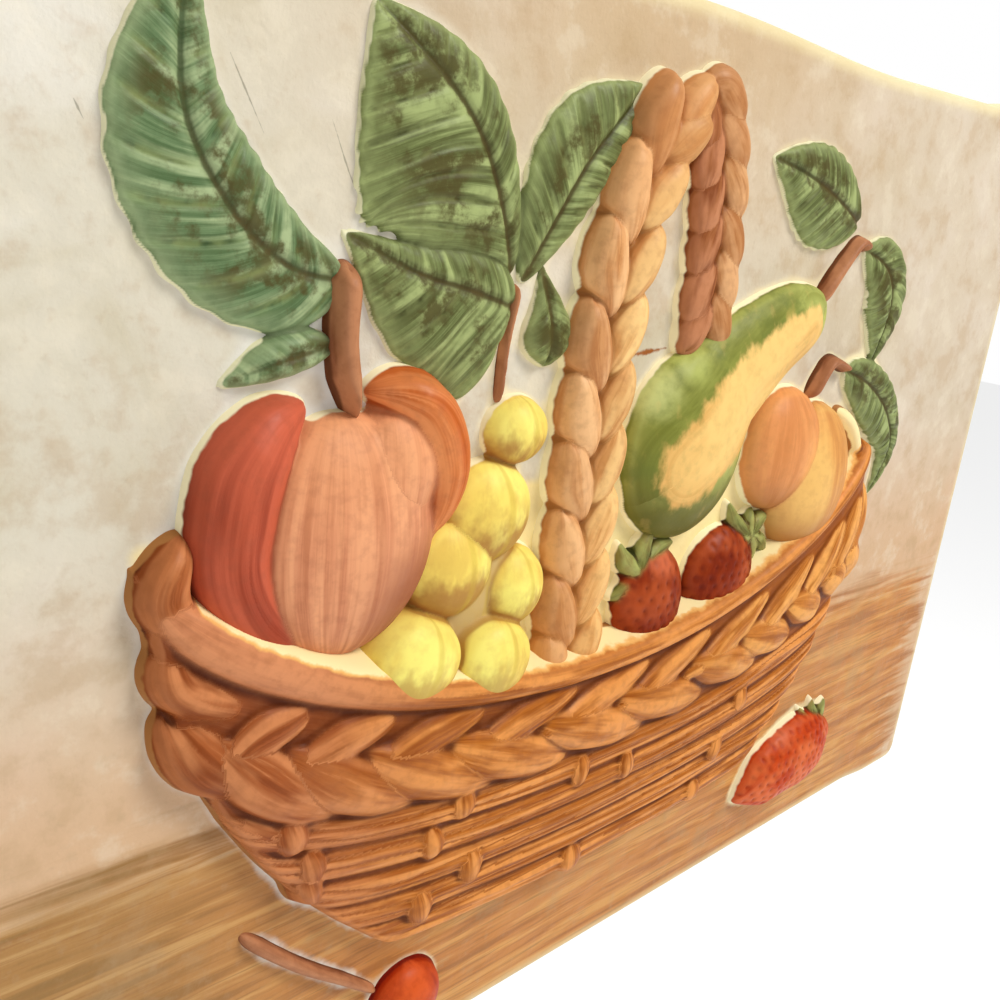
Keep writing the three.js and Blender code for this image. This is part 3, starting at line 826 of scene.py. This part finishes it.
CALYXES = [
    ((4, -10), 4.0, [(62, 15), (128, 13), (20, 19), (-18, 22), (-62, 17), (-100, 16), (-140, 12)]),
    ((60, -7), 4.0, [(132, 17), (168, 16), (206, 17), (74, 9), (20, 13), (-38, 18), (-72, 14)]),
    ((139, -104), 2.0, [(146, 19), (118, 14), (60, 10), (-40, 12), (-78, 18)]),
]


def sepals(relief, at, lift, reaches):
    for degrees, reach in reaches:
        turn = math.radians(degrees)
        ahead = np.array([math.cos(turn), math.sin(turn)])
        bend = np.array([-ahead[1], ahead[0]]) * 0.12 * reach * (-1) ** int(degrees)
        foot = np.array(at)
        spine = [foot - 1.5 * ahead, foot + 0.55 * reach * ahead + bend, foot + reach * ahead]
        form = limb(spine, [2.4, 3.2, 2.0], [3.4, 2.4], lambda u: lift * (1 - 0.6 * u), 2.0, 2.5)
        relief.add(form, 0.2, tint=(degrees % 7) / 7, leafy=1.0)


SEED_SPACING, SEED_ROWS = 4.3, 0.8  # between seeds in a row, and between rows as a share of that
SEED_HALF = (0.75, 1.0)
SEED_DEPTH = 0.55


def seeded(relief):
    """Small pits in rows, each with a seed in it."""
    x, z = relief.x, relief.z
    row = np.rint(z / (SEED_SPACING * SEED_ROWS))
    column = np.rint(x / SEED_SPACING + 0.5 * (row % 2)) - 0.5 * (row % 2)
    jitter = np.random.default_rng(3).uniform(-0.5, 0.5, (2, 97))
    pick = (np.abs(row * 31 + column * 2 * 17)).astype(int) % 97
    dx = x - column * SEED_SPACING - jitter[0][pick]
    dz = z - row * SEED_SPACING * SEED_ROWS - jitter[1][pick]
    pit = np.exp(-((dx / SEED_HALF[0]) ** 2 + (dz / SEED_HALF[1]) ** 2))
    bare = 1 - relief.marks.get("leafy", 0)
    relief.height -= SEED_DEPTH * pit * bare * (relief.height > 1.5)
    relief.marks["seed"] = pit * bare


def strawberries():
    relief = Relief("strawberries", (-14, -40, 82, 14))
    relief.add(dome((12, -21.5), (16, 19.8), 10.5, 8), 0.5, tint=0.2)
    relief.add(dome((47.5, -19.5), (18.6, 18), 10.5, -14), 0.5, tint=0.7)
    for at, lift, reaches in CALYXES[:2]:
        sepals(relief, at, lift, reaches)
    seeded(relief)
    return relief.soften(CRISP)


def loose_strawberry():
    relief = Relief("loose_strawberry", (82, -136, 166, -82))
    widths = [3, 15, 18, 14]
    crown = [11.5 * (w / 18) ** 0.4 for w in widths]
    spine = [(86, -124.5), (104, -117), (124, -113.5), (144, -114)]
    relief.add(limb(spine, widths, crown, None, 5, 5), tint=0.4)
    sepals(relief, *CALYXES[2])
    seeded(relief)
    return relief.soften(CRISP)


def cherry():
    relief = Relief("cherry", (-90, -146, -54, -112))
    relief.add(dome((-72, -129), (12.5, 12.5), 9), tint=0.4)
    return relief.soften()


# ---- leaves and stems ----

LEAVES = [
    ([(-103, 75.5), (-118, 79), (-131, 90), (-139.5, 108), (-137, 136)], 17, 11, 0.4),
    ([(-105, 62.5), (-118, 60), (-132, 54.5)], 4.2, 5.2, 0.42),
    ([(-56, 77), (-63, 94), (-75, 112), (-99, 131)], 34, 10.5, 0.56),
    ([(-56, 70), (-70, 74), (-86, 78), (-104.5, 86.5)], 26, 9, 0.25),
    ([(-53, 75), (-45, 91), (-35, 107), (-16, 125)], 15, 10, 0.55),
    ([(-47, 82), (-43.5, 69), (-42, 54)], 8.5, 8, 0.72),
    ([(97, 96), (78, 103), (60, 109), (43, 113)], 17, 13, 0.45),
    ([(105, 88), (119, 82), (126, 70), (125, 47)], 12.5, 13, 0.5),
    ([(107, 46.5), (124, 40), (141, 28), (150, 13), (143, -7)], 10, 12, 0.4),
]
LEAF_EDGE, LEAF_CROWN, LEAF_GROOVE = 1.6, 4.6, 1.1
LEAF_TEETH = 0.022  # depth of a leaf's teeth, as a share of its width
VEIN_SPACING, VEIN_SLANT = 7.5, 0.62
VEIN_DEPTH, QUILT = 0.8, 0.25  # a side vein's groove, and how far the leaf swells beside it


def leaf(rib, left, right, widest, tint):
    """A leaf: two raised halves beside a sunken midrib, quilted between its side veins."""
    line, reach = spline(rib, 0.5)
    peak = math.log(0.5) / math.log(widest)

    def spread(u):
        return np.sin(math.pi * np.clip(u, 1e-4, 1 - 1e-4) ** peak) ** np.where(u < widest, 0.7, 1.0)

    def shape(x, z):
        off, u, side = nearest_on(line, reach, x, z)
        length = u * reach[-1]
        teeth = 1 + LEAF_TEETH * np.sin(length * 1.1 + 3 * tint) * np.sin(math.pi * u)
        width = np.maximum(np.where(side > 0, left, right) * spread(u) * teeth, 0.05)
        ratio = off / width
        slanted = length - VEIN_SLANT * off
        vein = np.abs((slanted / VEIN_SPACING + 0.17 * side) % 1 - 0.5) * VEIN_SPACING
        quilt = np.clip(np.minimum(off / 4, (1 - ratio) * width / 3), 0, 1)
        section = np.clip(1 - ratio ** 2.6, 0, 1) ** 0.7
        rise = LEAF_EDGE + (LEAF_CROWN - LEAF_EDGE) * spread(u) * section
        rise = rise - LEAF_GROOVE * np.exp(-((off / 1.1) ** 2))
        rise = rise - quilt * (VEIN_DEPTH * np.exp(-((vein / 0.9) ** 2)) - QUILT)
        wall = LEAF_EDGE * (width > 0.5) + STEEP * (1 - ratio) * width
        return np.minimum(np.where(ratio < 1, rise, 9), np.minimum(wall, rise + 9)), {
            "along": off * side, "across": slanted / 9.0, "rib": np.exp(-((off / 0.6) ** 2)),
            "vein": np.exp(-((vein / 0.6) ** 2)) * quilt, "share": u,
            "margin": smoothstep(ratio, 0.5, 1.0), "crown": 1 - np.minimum(ratio, 1),
        }

    return Form(line, max(left, right) + 4, shape)


def leaves(name, box, numbers):
    relief = Relief(name, box, 0.45)
    for number in numbers:
        tint = (number * 0.37) % 1
        relief.add(leaf(*LEAVES[number], tint), 0.1, tint=tint)
    return relief.soften(CRISP)


STEMS = [
    ([(-103.5, 78.5), (-104, 63), (-100, 45)], [4.2, 3.9, 3.7, 1.6], 7.5),
    ([(-54, 75), (-56.5, 62), (-57, 46)], [1.6, 1.3], 3.5),
    ([(80, 70), (91, 83), (99, 90), (106, 88)], [3.2, 2.2], 5),
    ([(86, 38), (90, 45), (96, 50), (108, 46.5)], [2.8, 2.2], 5.5),
    ([(-124, -82), (-108, -99), (-93, -112), (-82, -122)], [2.4, 1.8], 3.5),
]


def stem(number, points, halves, crown):
    line, _ = spline(points)
    (x0, z0), (x1, z1) = line.min(0) - 8, line.max(0) + 8
    relief = Relief(f"stem_{number}", (x0, z0, x1, z1), 0.4)
    relief.add(limb(points, halves, crown, None, 10, 10), tint=number / 5)
    return relief.soften(CRISP)


# ---- the plate ----

def edge_heights(x):
    """Height of the plate's top edge and bottom edge at x."""
    flare = FLARE * smoothstep(np.abs(x), FLARE_START, FLARE_END)
    hump = HUMP * np.cos(np.clip(np.abs(x) / HUMP_REACH, 0, 1) * math.pi / 2) ** 2
    return TOP + flare + hump, BOTTOM - flare


def edge_gaps(places):
    """How far places are inside the ends of the plate, and inside its top and bottom edges."""
    x, z = places.T
    top, bottom = edge_heights(x)
    return HALF_WIDTH - np.abs(x), np.minimum(top - z, z - bottom)


def plate_outline(inset, spacing=1.6):
    """The plate's outline drawn in by an inset, anticlockwise from the lower left."""
    reach, edge, radius = HALF_WIDTH - CORNER, HALF_WIDTH - inset, CORNER - inset
    across = np.linspace(-reach, reach, int(2 * reach / spacing))
    top, bottom = edge_heights(across)
    low_z, high_z = bottom[-1] + CORNER, top[-1] - CORNER
    upright = np.linspace(low_z, high_z, int((high_z - low_z) / spacing))[1:-1]

    def corner(x, z, start):
        turns = np.radians(start + np.linspace(0, 90, 8)[1:-1])
        return [(x + radius * math.cos(turn), z + radius * math.sin(turn)) for turn in turns]

    return np.array([
        *zip(across, bottom + inset), *corner(reach, low_z, -90),
        *((edge, z) for z in (low_z, *upright, high_z)), *corner(reach, high_z, 0),
        *zip(across[::-1], top[::-1] - inset), *corner(-reach, high_z, 90),
        *((-edge, z) for z in (high_z, *upright[::-1], low_z)), *corner(-reach, low_z, 180),
    ])


def inside_outline(x, z, inset):
    top, bottom = edge_heights(x)
    within = (np.abs(x) < HALF_WIDTH - inset) & (z < top - inset) & (z > bottom + inset)
    corner_x = np.abs(x) - (HALF_WIDTH - CORNER)
    corner_z = np.maximum(z - (top - CORNER), (bottom + CORNER) - z)
    out = (corner_x > 0) & (corner_z > 0) & (np.hypot(corner_x, corner_z) > CORNER - inset)
    return within & ~out


def plate_places(edge, step, inset):
    """A face of the plate, triangulated: an outline and a grid of places inside it."""
    x, z = np.meshgrid(np.arange(-HALF_WIDTH, HALF_WIDTH, step), np.arange(BOTTOM - 4, TOP + 8, step))
    x = x + step / 2 * (np.rint((z - BOTTOM) / step) % 2)
    keep = inside_outline(x, z, inset + 0.6 * step)
    inner = np.column_stack([x[keep], z[keep]])
    everywhere = np.concatenate([edge, inner])
    ring = [(k, (k + 1) % len(edge)) for k in range(len(edge))]
    result = delaunay_2d_cdt([Vector(p) for p in everywhere], ring, [], 1, 1e-6)
    return everywhere, [upwards(result[0], face) for face in result[2]]


def ground(reliefs):
    """How the plate is covered and painted, on a grid: figures, halo, inside of the basket."""
    relief = Relief("ground", (-HALF_WIDTH - 4, BOTTOM - 6, HALF_WIDTH + 4, TOP + 8), 1.25)
    x, z = relief.x, relief.z
    cover = np.maximum.reduce([r.cover(x, z) for r in reliefs])
    mask = (cover > 0.1).astype(float)
    relief.marks["halo"] = np.clip(relief.blurred(mask, 2.4) * 1.7, 0, 1)
    fillet = np.clip(relief.blurred(mask, 1.1) * 1.1, 0, 1)
    relief.height = 0.55 * fillet ** 1.5 + 0.11 * lumps(x, z, 5.5, 21) + 0.14 * lumps(x, z, 13, 22)
    across, down, _ = basket_places(x, z)
    inside = (down < 0.02) & (z < 24) & (np.abs(across) < 0.9)
    relief.marks["inside"] = relief.blurred(inside * 1.0, 2.0)
    return relief


def read_grid(relief, values, x, z):
    """Values of a grid at places between its points."""
    a, b = (x - relief.x[0, 0]) / relief.step, (z - relief.z[0, 0]) / relief.step
    i, j = np.floor(a).astype(int), np.floor(b).astype(int)
    s, t = a - i, b - j
    return (
        values[j, i] * (1 - s) * (1 - t) + values[j, i + 1] * s * (1 - t)
        + values[j + 1, i] * (1 - s) * t + values[j + 1, i + 1] * s * t
    )


def plate(reliefs, material):
    base = ground(reliefs)
    front_edge, back_edge = plate_outline(SOFT_EDGE), plate_outline(BACK_EDGE)
    front, front_faces = plate_places(front_edge, FRONT_GRID, SOFT_EDGE)
    back, back_faces = plate_places(back_edge, BACK_GRID, BACK_EDGE)
    count = len(front_edge)
    ends, edges = edge_gaps(front)
    fade = smoothstep(ends, 4, 14) * smoothstep(edges, 4, 14)
    rows = [(front, read_grid(base, base.height, *front.T) * fade)]
    for k in range(1, EDGE_STEPS + 1):
        turn = math.pi / 2 * (1 - k / EDGE_STEPS)
        inset, drop = SOFT_EDGE * (1 - math.cos(turn)), SOFT_EDGE * (1 - math.sin(turn))
        rows.append((plate_outline(inset), np.full(count, -drop)))
    rows += [
        (plate_outline(0), np.full(count, BACK_EDGE - FACE)),
        (back, np.full(len(back), -FACE)),
    ]
    places = np.concatenate([p for p, _ in rows])
    height = np.concatenate([h for _, h in rows])
    starts = np.cumsum([0] + [len(p) for p, _ in rows[:-1]])
    faces = list(front_faces)
    for a, b in zip(starts, starts[1:]):
        for k, n in zip(range(count), [*range(1, count), 0]):
            faces.append([a + n, a + k, b + k, b + n])
    faces += [[starts[-1] + k for k in reversed(face)] for face in back_faces]
    marks = {name: read_grid(base, values, *places.T) for name, values in base.marks.items()}
    marks["back"] = (height < -FACE + 0.1) * 1.0
    marks["rim"] = 1 - smoothstep(np.minimum(*edge_gaps(places)), 1.5, 6.0)
    piece = new_piece("plate", (places[:, 0], height, places[:, 1]), faces, marks, material)
    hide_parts("plaque")


# ---- the paints of each piece ----

# The light, base, dark and deep tone of every brushed paint.
BASKET_TONES = ("e4964c", "b4661c", "8a4204", "5c2600")
BASKET_ROSY = ("cc8250", "a05426", "7e380c", "562000")
BASKET_LIT = ("eea858", "c67a32", "9a5208", "682c00")
# The handle's paint in lit and shaded copies: painted light on its right columns, painted shade on its
# left.
HANDLE_LIT_RIGHT = ("f9cc86", "e6ae6c", "c98a4a", "986024")
HANDLE_SHADED_LEFT = ("f0bc84", "dc9f64", "bc7a44", "8c5422")
HANDLE_FAR_LIT = ("e0aa76", "c58b57", "a76936", "7c420c")
HANDLE_SHADED = ("c08058", "98592f", "7c3e1c", "602608")
PEACH_MIDDLE = ("efa879", "d98f66", "bf7650", "985030")
PEACH_LEFT = ("c45c3e", "a4442a", "883016", "661a04")
PEACH_RIGHT = ("e69257", "cb6a32", "ba5718", "943800")
PEAR_GREEN = ("b4b864", "8c9040", "6c7028", "545008")
PEAR_FLANK = ("f6ca7a", "eabb6d", "dca85c", "b48a40")
APRICOT_FAR = ("eebc6c", "e2a45a", "ce8a48", "a86a34")
APRICOT_NEAR = ("eea662", "e2965a", "d0844a", "ac6a36")
GRAPE = ("fbee7c", "f5da68", "e6c25c", "a87430")
STRAWBERRY = ("b04c20", "903004", "761e00", "540800")
LOOSE_BERRY = ("de6c38", "c8440e", "ac2e00", "8c1400")
CALYX_GREEN = ("a5a860", "6c6c30", "444618", "2c3008")
LEAF_COOL = ("a4b484", "6a8258", "486038", "2a3c1c")
LEAF_WARM = ("a2ae70", "6c7644", "4c4e26", "2e2c0a")
BARK = ("bc8058", "9a6040", "7c4628", "582c12")
CHERRY_RED = ("d85a24", "b03200", "901e00", "6c0c00")

FLECKS = [
    ((-157, 105), (-155.5, 102)), ((-101, 94), (-107, 107)), ((-129, 116), (-122, 103)),
]  # stray hairs of the brush, each from one place to another


def plate_paint():
    paint = Paint("painted_ground")
    x, z = paint.axis(0), paint.axis(2)
    cloud = paint.noise(46, detail=5.0, distortion=0.6)
    patchy = paint.noise(14, detail=5.0, roughness=0.6)
    fine = paint.noise(4, detail=4.0)
    colour = paint.ramp(cloud, [(0.3, "cabfa4"), (0.5, "d8d0bc"), (0.7, "e4ded0")])
    # The tan behind the handle, and the warm ground low down and to the right.
    lift = paint.plus(paint.times(cloud, 30.0), z)
    near = paint.span(paint.math("ABSOLUTE", x), 20, 170, 1.0, 0.0)
    top = paint.times(paint.span(lift, 60.0, 165.0), near)
    colour = paint.over(top, colour, "c6a67c", 0.85)
    colour = paint.wash(colour, "cab296", x, -30.0, 170.0, 0.55)
    low_band = paint.span(paint.math("SUBTRACT", z, paint.times(cloud, 40.0)), 15.0, -65.0)
    colour = paint.over(low_band, colour, "d2a87e", 0.85)
    # The table: long level strokes of ochre and olive brown.
    stroke = paint.noise((60, 9, 4.2), detail=4.0, distortion=0.5)
    strands = paint.noise((32, 9, 1.0), detail=3.0)
    ragged = paint.plus(z, paint.times(stroke, 30.0))
    table = paint.span(ragged, -28.0, -42.0)
    ends = paint.span(paint.plus(x, paint.times(stroke, 70.0)), 262.0, 240.0)
    table = paint.times(table, ends)
    tone = paint.ramp(stroke, [(0.34, "a8662a"), (0.48, "c47e3a"), (0.62, "d49850")])
    olive = paint.ramp(stroke, [(0.34, "8c6630"), (0.5, "a6783e"), (0.64, "bc9258")])
    tone = paint.wash(tone, olive, x, -80.0, -165.0)
    tone = paint.wash(tone, "94622c", strands, 0.5, 0.68, 0.6)
    colour = paint.over(table, colour, tone, 0.9)
    colour = paint.wash(colour, "b4946c", patchy, 0.5, 0.68, 0.35)
    bare = paint.times(paint.span(patchy, 0.48, 0.34, 0.0, 0.25), paint.math("SUBTRACT", 1.0, table))
    colour = paint.over(bare, colour, "ede2ca")
    colour = paint.wash(colour, "b59a78", fine, 0.55, 0.75, 0.22)
    colour = paint.over("rim", colour, "f3e4ae", 0.6)
    halo = paint.plus("halo", paint.span(patchy, 0.3, 0.7, -0.2, 0.2))
    strength = paint.span(x, -165.0, -95.0, 0.25, 0.85)
    strength = paint.times(strength, paint.span(z, 95.0, 45.0, 0.45, 1.0))
    pale = paint.over(paint.span(x, -110.0, -40.0), "eae8e2", "f6e8bc")
    colour = paint.over(paint.times(paint.span(halo, 0.4, 1.0), strength), colour, pale)
    colour = paint.wash(colour, "fae4a0", "inside", 0.2, 0.8, 0.9)
    # A painted twig behind the pear, and stray hairs of the brush.
    colour = paint.over(paint.segment((-7, 56), (7, 57.5), 1.5), colour, "9a5a28")
    for start, stop in FLECKS:
        colour = paint.over(paint.segment(start, stop, 0.35), colour, "7b7662", 0.6)
    bare = paint.ramp(fine, [(0.35, "e9e4da"), (0.65, "d8d0c2")])
    colour = paint.over("back", colour, bare)
    relief = paint.plus(fine, paint.times(patchy, 1.6))
    return paint.finish(colour, relief, 0.6, 0.34)


def basket_paint():
    paint = Paint("painted_basket")
    colour = paint.brushed(BASKET_TONES, 30.0, 0.26)
    red = paint.span(paint.axis(0), -60.0, -125.0)
    rosy = paint.brushed(BASKET_ROSY, 30.0, 0.26, offset=3.0)
    colour = paint.over(red, colour, rosy)
    # Painted light: the plait's strands take a lighter, lit copy of the paint towards the right.
    light = paint.span(paint.axis(0), -10.0, 80.0)
    strands = paint.times("strand", light)
    colour = paint.over(strands, colour, paint.brushed(BASKET_LIT, 30.0, 0.26, offset=6.0))
    left_rim = paint.times("rim", paint.times(red, 0.55))
    colour = paint.over(left_rim, colour, "dc9468")
    lip = paint.plus("lip", paint.span(paint.noise(5), 0.3, 0.7, -0.15, 0.15))
    colour = paint.over(paint.span(lip, 0.25, 0.6), paint.mottled(colour, "8e4f28"), "f0b668")
    colour = paint.wash(colour, "fbe7ac", lip, 0.55, 0.85)
    colour = paint.worn(colour, "a8703c", 0.3)
    return paint.finish(colour, paint.bristles(24.0, 0.2), 0.3)


def handle_paint():
    paint = Paint("painted_handle")
    # Painted light and shade: the near braid's right column is lighter than its left.
    right = paint.brushed(HANDLE_LIT_RIGHT, 24.0, 0.28, 0.6)
    left = paint.brushed(HANDLE_SHADED_LEFT, 24.0, 0.28, 0.6, 4.0)
    colour = paint.over("side", left, right)
    colour = paint.wash(colour, "d08c52", paint.axis(2), 75.0, 120.0, 0.5)
    colour = paint.wash(colour, "dc9448", paint.axis(2), 40.0, -30.0, 0.35)
    # The far braid likewise: a lighter copy of the paint on its right column and a painted-shade copy
    # on its left.
    shaded = paint.brushed(HANDLE_SHADED, 18.0, 0.28, offset=9.0)
    far = paint.brushed(HANDLE_FAR_LIT, 18.0, 0.28, offset=7.0)
    far = paint.over("side", far, shaded)
    colour = paint.over("far", colour, far)
    colour = paint.wash(colour, "a8683a", "tint", 0.5, 1.0, 0.35)
    return paint.done(colour, "9a5f35", 0.25, 24.0, 0.2, 0.25)


def peach_paint():
    paint = Paint("painted_peach")
    middle = paint.brushed(PEACH_MIDDLE, 60.0, 0.07, 0.5, rim=0.15)
    # Painted shade: the lower right of the middle lobe is darkened, broadly and in a soft spot.
    lower = paint.span("along", 14.0, -22.0)
    shade = paint.times(lower, paint.span("across", -0.5, 0.5))
    middle = paint.over(shade, middle, "a26040", 0.7)
    middle = paint.over(paint.spot((-86, 4), 18), middle, "a05c3c", 0.8)
    middle = paint.wash(middle, "f0a874", paint.axis(2), 20.0, 45.0, 0.6)
    left = paint.brushed(PEACH_LEFT, 60.0, 0.14, 0.5, 3.0, rim=0.2)
    right = paint.brushed(PEACH_RIGHT, 60.0, 0.14, 0.4, 6.0, rim=0.2)
    left = paint.wash(left, "d6694b", paint.axis(2), 28.0, 48.0, 0.6)
    colour = paint.over("left", middle, left)
    colour = paint.over("right", colour, right)
    return paint.done(colour, "8e4a34", 0.2, 60.0, 0.09)


def pear_paint():
    paint = Paint("painted_pear")
    green = paint.brushed(PEAR_GREEN, 40.0, 0.55, 0.5)
    blotch = paint.noise(12, detail=5.0)
    green = paint.wash(green, "6a7430", blotch, 0.48, 0.66, 0.6)
    # Painted highlights high on the left of the pear; darker olive towards the bottom.
    green = paint.over(paint.spot((-3, 48), 12), green, "cfd488", 0.8)
    green = paint.over(paint.spot((12, 55), 9), green, "bcc468", 0.6)
    green = paint.wash(green, "5e5818", paint.axis(2), 26.0, 8.0, 0.85)
    flank = paint.brushed(PEAR_FLANK, 40.0, 0.3, 0.4, 4.0, rim=0.0)
    uneven = paint.span(paint.noise((5, 5, 9), detail=4.0), 0.3, 0.7, -0.3, 0.3)
    ragged = paint.plus("flank", uneven)
    colour = paint.wash(green, flank, ragged, 0.15, 0.8)
    return paint.done(colour, "6b7434", 0.15, 40.0, 0.3)


def apricot_paint():
    paint = Paint("painted_apricot")
    far = paint.brushed(APRICOT_FAR, 50.0, 0.3, 0.6, rim=0.2)
    near = paint.brushed(APRICOT_NEAR, 50.0, 0.3, 0.6, 4.0, rim=0.2)
    colour = paint.over("near", far, near)
    # Painted shade: darker brown low on the apricot.
    colour = paint.wash(colour, "aa6c34", "along", -4.0, -24.0, 0.9)
    return paint.done(colour, "b87a48", 0.2, 50.0, 0.3)


def grapes_paint():
    paint = Paint("painted_grapes")
    colour = paint.brushed(GRAPE, 20.0, 0.5, 0.7, rim=0.3)
    # Painted shade on the lower part of each grape, and on the bunch between the grapes.
    shade = paint.plus("along", paint.span(paint.bristles(9.0, 0.4), 0.3, 0.7, -4.0, 4.0))
    upper = paint.span(paint.axis(2), -12.0, -4.0, 0.6, 0.85)
    colour = paint.over(paint.times(paint.span(shade, 3.0, -8.0), upper), colour, "a86e34")
    colour = paint.over("between", colour, "c9ab70")
    line = paint.math("ABSOLUTE", paint.math("SUBTRACT", "across", 0.15))
    colour = paint.wash(colour, "c8a83c", line, 0.12, 0.03, 0.4)
    return paint.done(colour, "d0a850", 0.2, 20.0, 0.2)


def berry_paint(name, tones, lit=()):
    paint = Paint(name)
    colour = paint.brushed(tones, 14.0, 0.24, 0.6)
    # Painted highlights: lighter spots where light falls on the berry.
    for at, reach in lit:
        colour = paint.over(paint.spot(at, reach), colour, "d87048", 0.75)
    colour = paint.over("seed", colour, "501004", 0.45)
    green = paint.brushed(CALYX_GREEN, 10.0, 0.3, 0.7, 5.0)
    colour = paint.over("leafy", colour, green)
    colour = paint.worn(paint.mottled(colour, tones[2], 0.3, 5.0))
    return paint.finish(colour, paint.bristles(14.0, 0.2), 0.25)


def leaf_paint(name, tones):
    paint = Paint(name)
    colour = paint.brushed(tones, 26.0, 0.12, 0.8, rim=0.0)
    blotch = paint.noise(10, detail=5.0, roughness=0.65)
    near = paint.math("SUBTRACT", 1.0, "margin")
    brown = paint.times(paint.span(blotch, 0.46, 0.6, 0.0, 0.9), near)
    colour = paint.over(brown, colour, "4e4620")
    colour = paint.over("margin", colour, tones[0], 0.35)
    broken = paint.span(paint.noise(6), 0.35, 0.6)
    vein = paint.times("vein", broken)
    colour = paint.over(vein, colour, "b2bf78", 0.6)
    rib = paint.times("rib", paint.span("share", 0.85, 0.4))
    colour = paint.over(rib, colour, "5a4424", 0.7)
    colour = paint.worn(paint.mottled(colour, tones[2], 0.3), "e8e4bc", 0.62)
    return paint.finish(colour, paint.bristles(30.0, 0.1), 0.3)


# ---- putting it together ----

def build_plaque():
    bark = plain_paint("painted_stems", BARK, 16.0, 0.4)
    cool = leaf_paint("painted_cool_leaves", LEAF_COOL)
    warm = leaf_paint("painted_warm_leaves", LEAF_WARM)
    red = berry_paint("painted_strawberries", STRAWBERRY, [((12, -6), 8), ((28, -2), 6)])
    orange = berry_paint("painted_loose_strawberry", LOOSE_BERRY, [((108, -99), 8)])
    dressed = [
        (basket(), basket_paint()),
        (handle(), handle_paint()),
        (peach(), peach_paint()),
        (pear(), pear_paint()),
        (apricot(), apricot_paint()),
        (grapes(), grapes_paint()),
        (strawberries(), red),
        (loose_strawberry(), orange),
        (cherry(), plain_paint("painted_cherry", CHERRY_RED, 20.0, 0.4)),
        (leaves("leaves_left", (-160, 45, -98, 145), (0, 1)), cool),
        (leaves("leaves_middle", (-112, 45, -8, 145), (2, 3, 4, 5)), warm),
        (leaves("leaves_right", (36, -14, 160, 130), (6, 7, 8)), warm),
    ]
    dressed += [(stem(number, *shape), bark) for number, shape in enumerate(STEMS, 1)]
    for relief, material in dressed:
        figure(relief, material)
    plate([relief for relief, _ in dressed], plate_paint())


FLOOR_REACH, FLOOR_DROP = 4.0, 0.35  # metres: half its width, and how far below the plaque
LAMPS = [
    ("key", (0.42, -0.72, 0.9), 0.45, 12.3, (0.99, 0.98, 0.965)),
    ("fill", (-0.9, -0.9, 0.25), 0.9, 2.0, (0.96, 0.98, 1.0)),
]  # each with its place, size, power and colour
SUN_FROM, SUN_POWER, SUN_ANGLE = (0.25, 0.6, 0.8), 2.6, 0.5
CAMERA_AT = (-0.220889, -0.190102, 0.098957)
CAMERA_AXES = (
    (0.74775, -0.65729, 0.09403), (0.13453, 0.28865, 0.94794), (-0.65021, -0.69616, 0.30426),
)  # its right, up and back


def pale_floor():
    """A plain pale floor, well below the plaque."""
    mesh = bpy.data.meshes.new("floor")
    square = [(-1, -1), (1, -1), (1, 1), (-1, 1)]
    corners = [(FLOOR_REACH * x, FLOOR_REACH * y, low.z - FLOOR_DROP) for x, y in square]
    mesh.from_pydata(corners, [], [(0, 1, 2, 3)])
    floor = placed("floor", mesh)
    pale = bpy.data.materials.new("pale_floor")
    pale.use_nodes = True
    inputs = pale.node_tree.nodes["Principled BSDF"].inputs
    inputs["Base Color"].default_value = (0.93, 0.93, 0.93, 1)
    inputs["Roughness"].default_value = 0.8
    mesh.materials.append(pale)


def surroundings():
    """Soft light from all sides, seen by the camera as plain white."""
    world = bpy.data.worlds.new("studio")
    world.use_nodes = True
    tree = world.node_tree
    soft, seen = tree.nodes["Background"], tree.nodes.new("ShaderNodeBackground")
    backgrounds = [(soft, (0.98, 0.98, 0.97, 1), 0.285), (seen, (1, 1, 1, 1), 1.0)]
    for background, colour, strength in backgrounds:
        background.inputs["Color"].default_value = colour
        background.inputs["Strength"].default_value = strength
    path, mix = tree.nodes.new("ShaderNodeLightPath"), tree.nodes.new("ShaderNodeMixShader")
    links = [path.outputs["Is Camera Ray"], soft.outputs[0], seen.outputs[0]]
    for output, socket in zip(links, mix.inputs):
        tree.links.new(output, socket)
    tree.links.new(mix.outputs[0], tree.nodes["World Output"].inputs["Surface"])
    return world


def studio():
    """The floor, the light and the camera of the close-up."""
    scene = bpy.context.scene
    pale_floor()
    scene.world = surroundings()
    scene.view_settings.view_transform = "Standard"
    for name, at, size, power, colour in LAMPS:
        lamp = bpy.data.lights.new(name, "AREA")
        lamp.energy, lamp.size, lamp.color = power, size, colour
        light = placed(name, lamp)
        light.location = at
        light.rotation_euler = (-Vector(at)).to_track_quat("-Z", "Y").to_euler()
    sun = bpy.data.lights.new("floor_light", "SUN")
    sun.energy, sun.angle = SUN_POWER, SUN_ANGLE
    placed("floor_light", sun).rotation_euler = Vector(SUN_FROM).to_track_quat("Z", "Y").to_euler()

    lens = bpy.data.cameras.new("camera")
    lens.lens, lens.sensor_width = 36, 36
    lens.clip_start, lens.clip_end = 0.005, 50
    camera = placed("camera", lens)
    turn = Matrix(CAMERA_AXES).transposed().to_4x4()
    camera.matrix_world = Matrix.Translation(CAMERA_AT) @ turn
    scene.camera = camera


studio()
build_plaque()
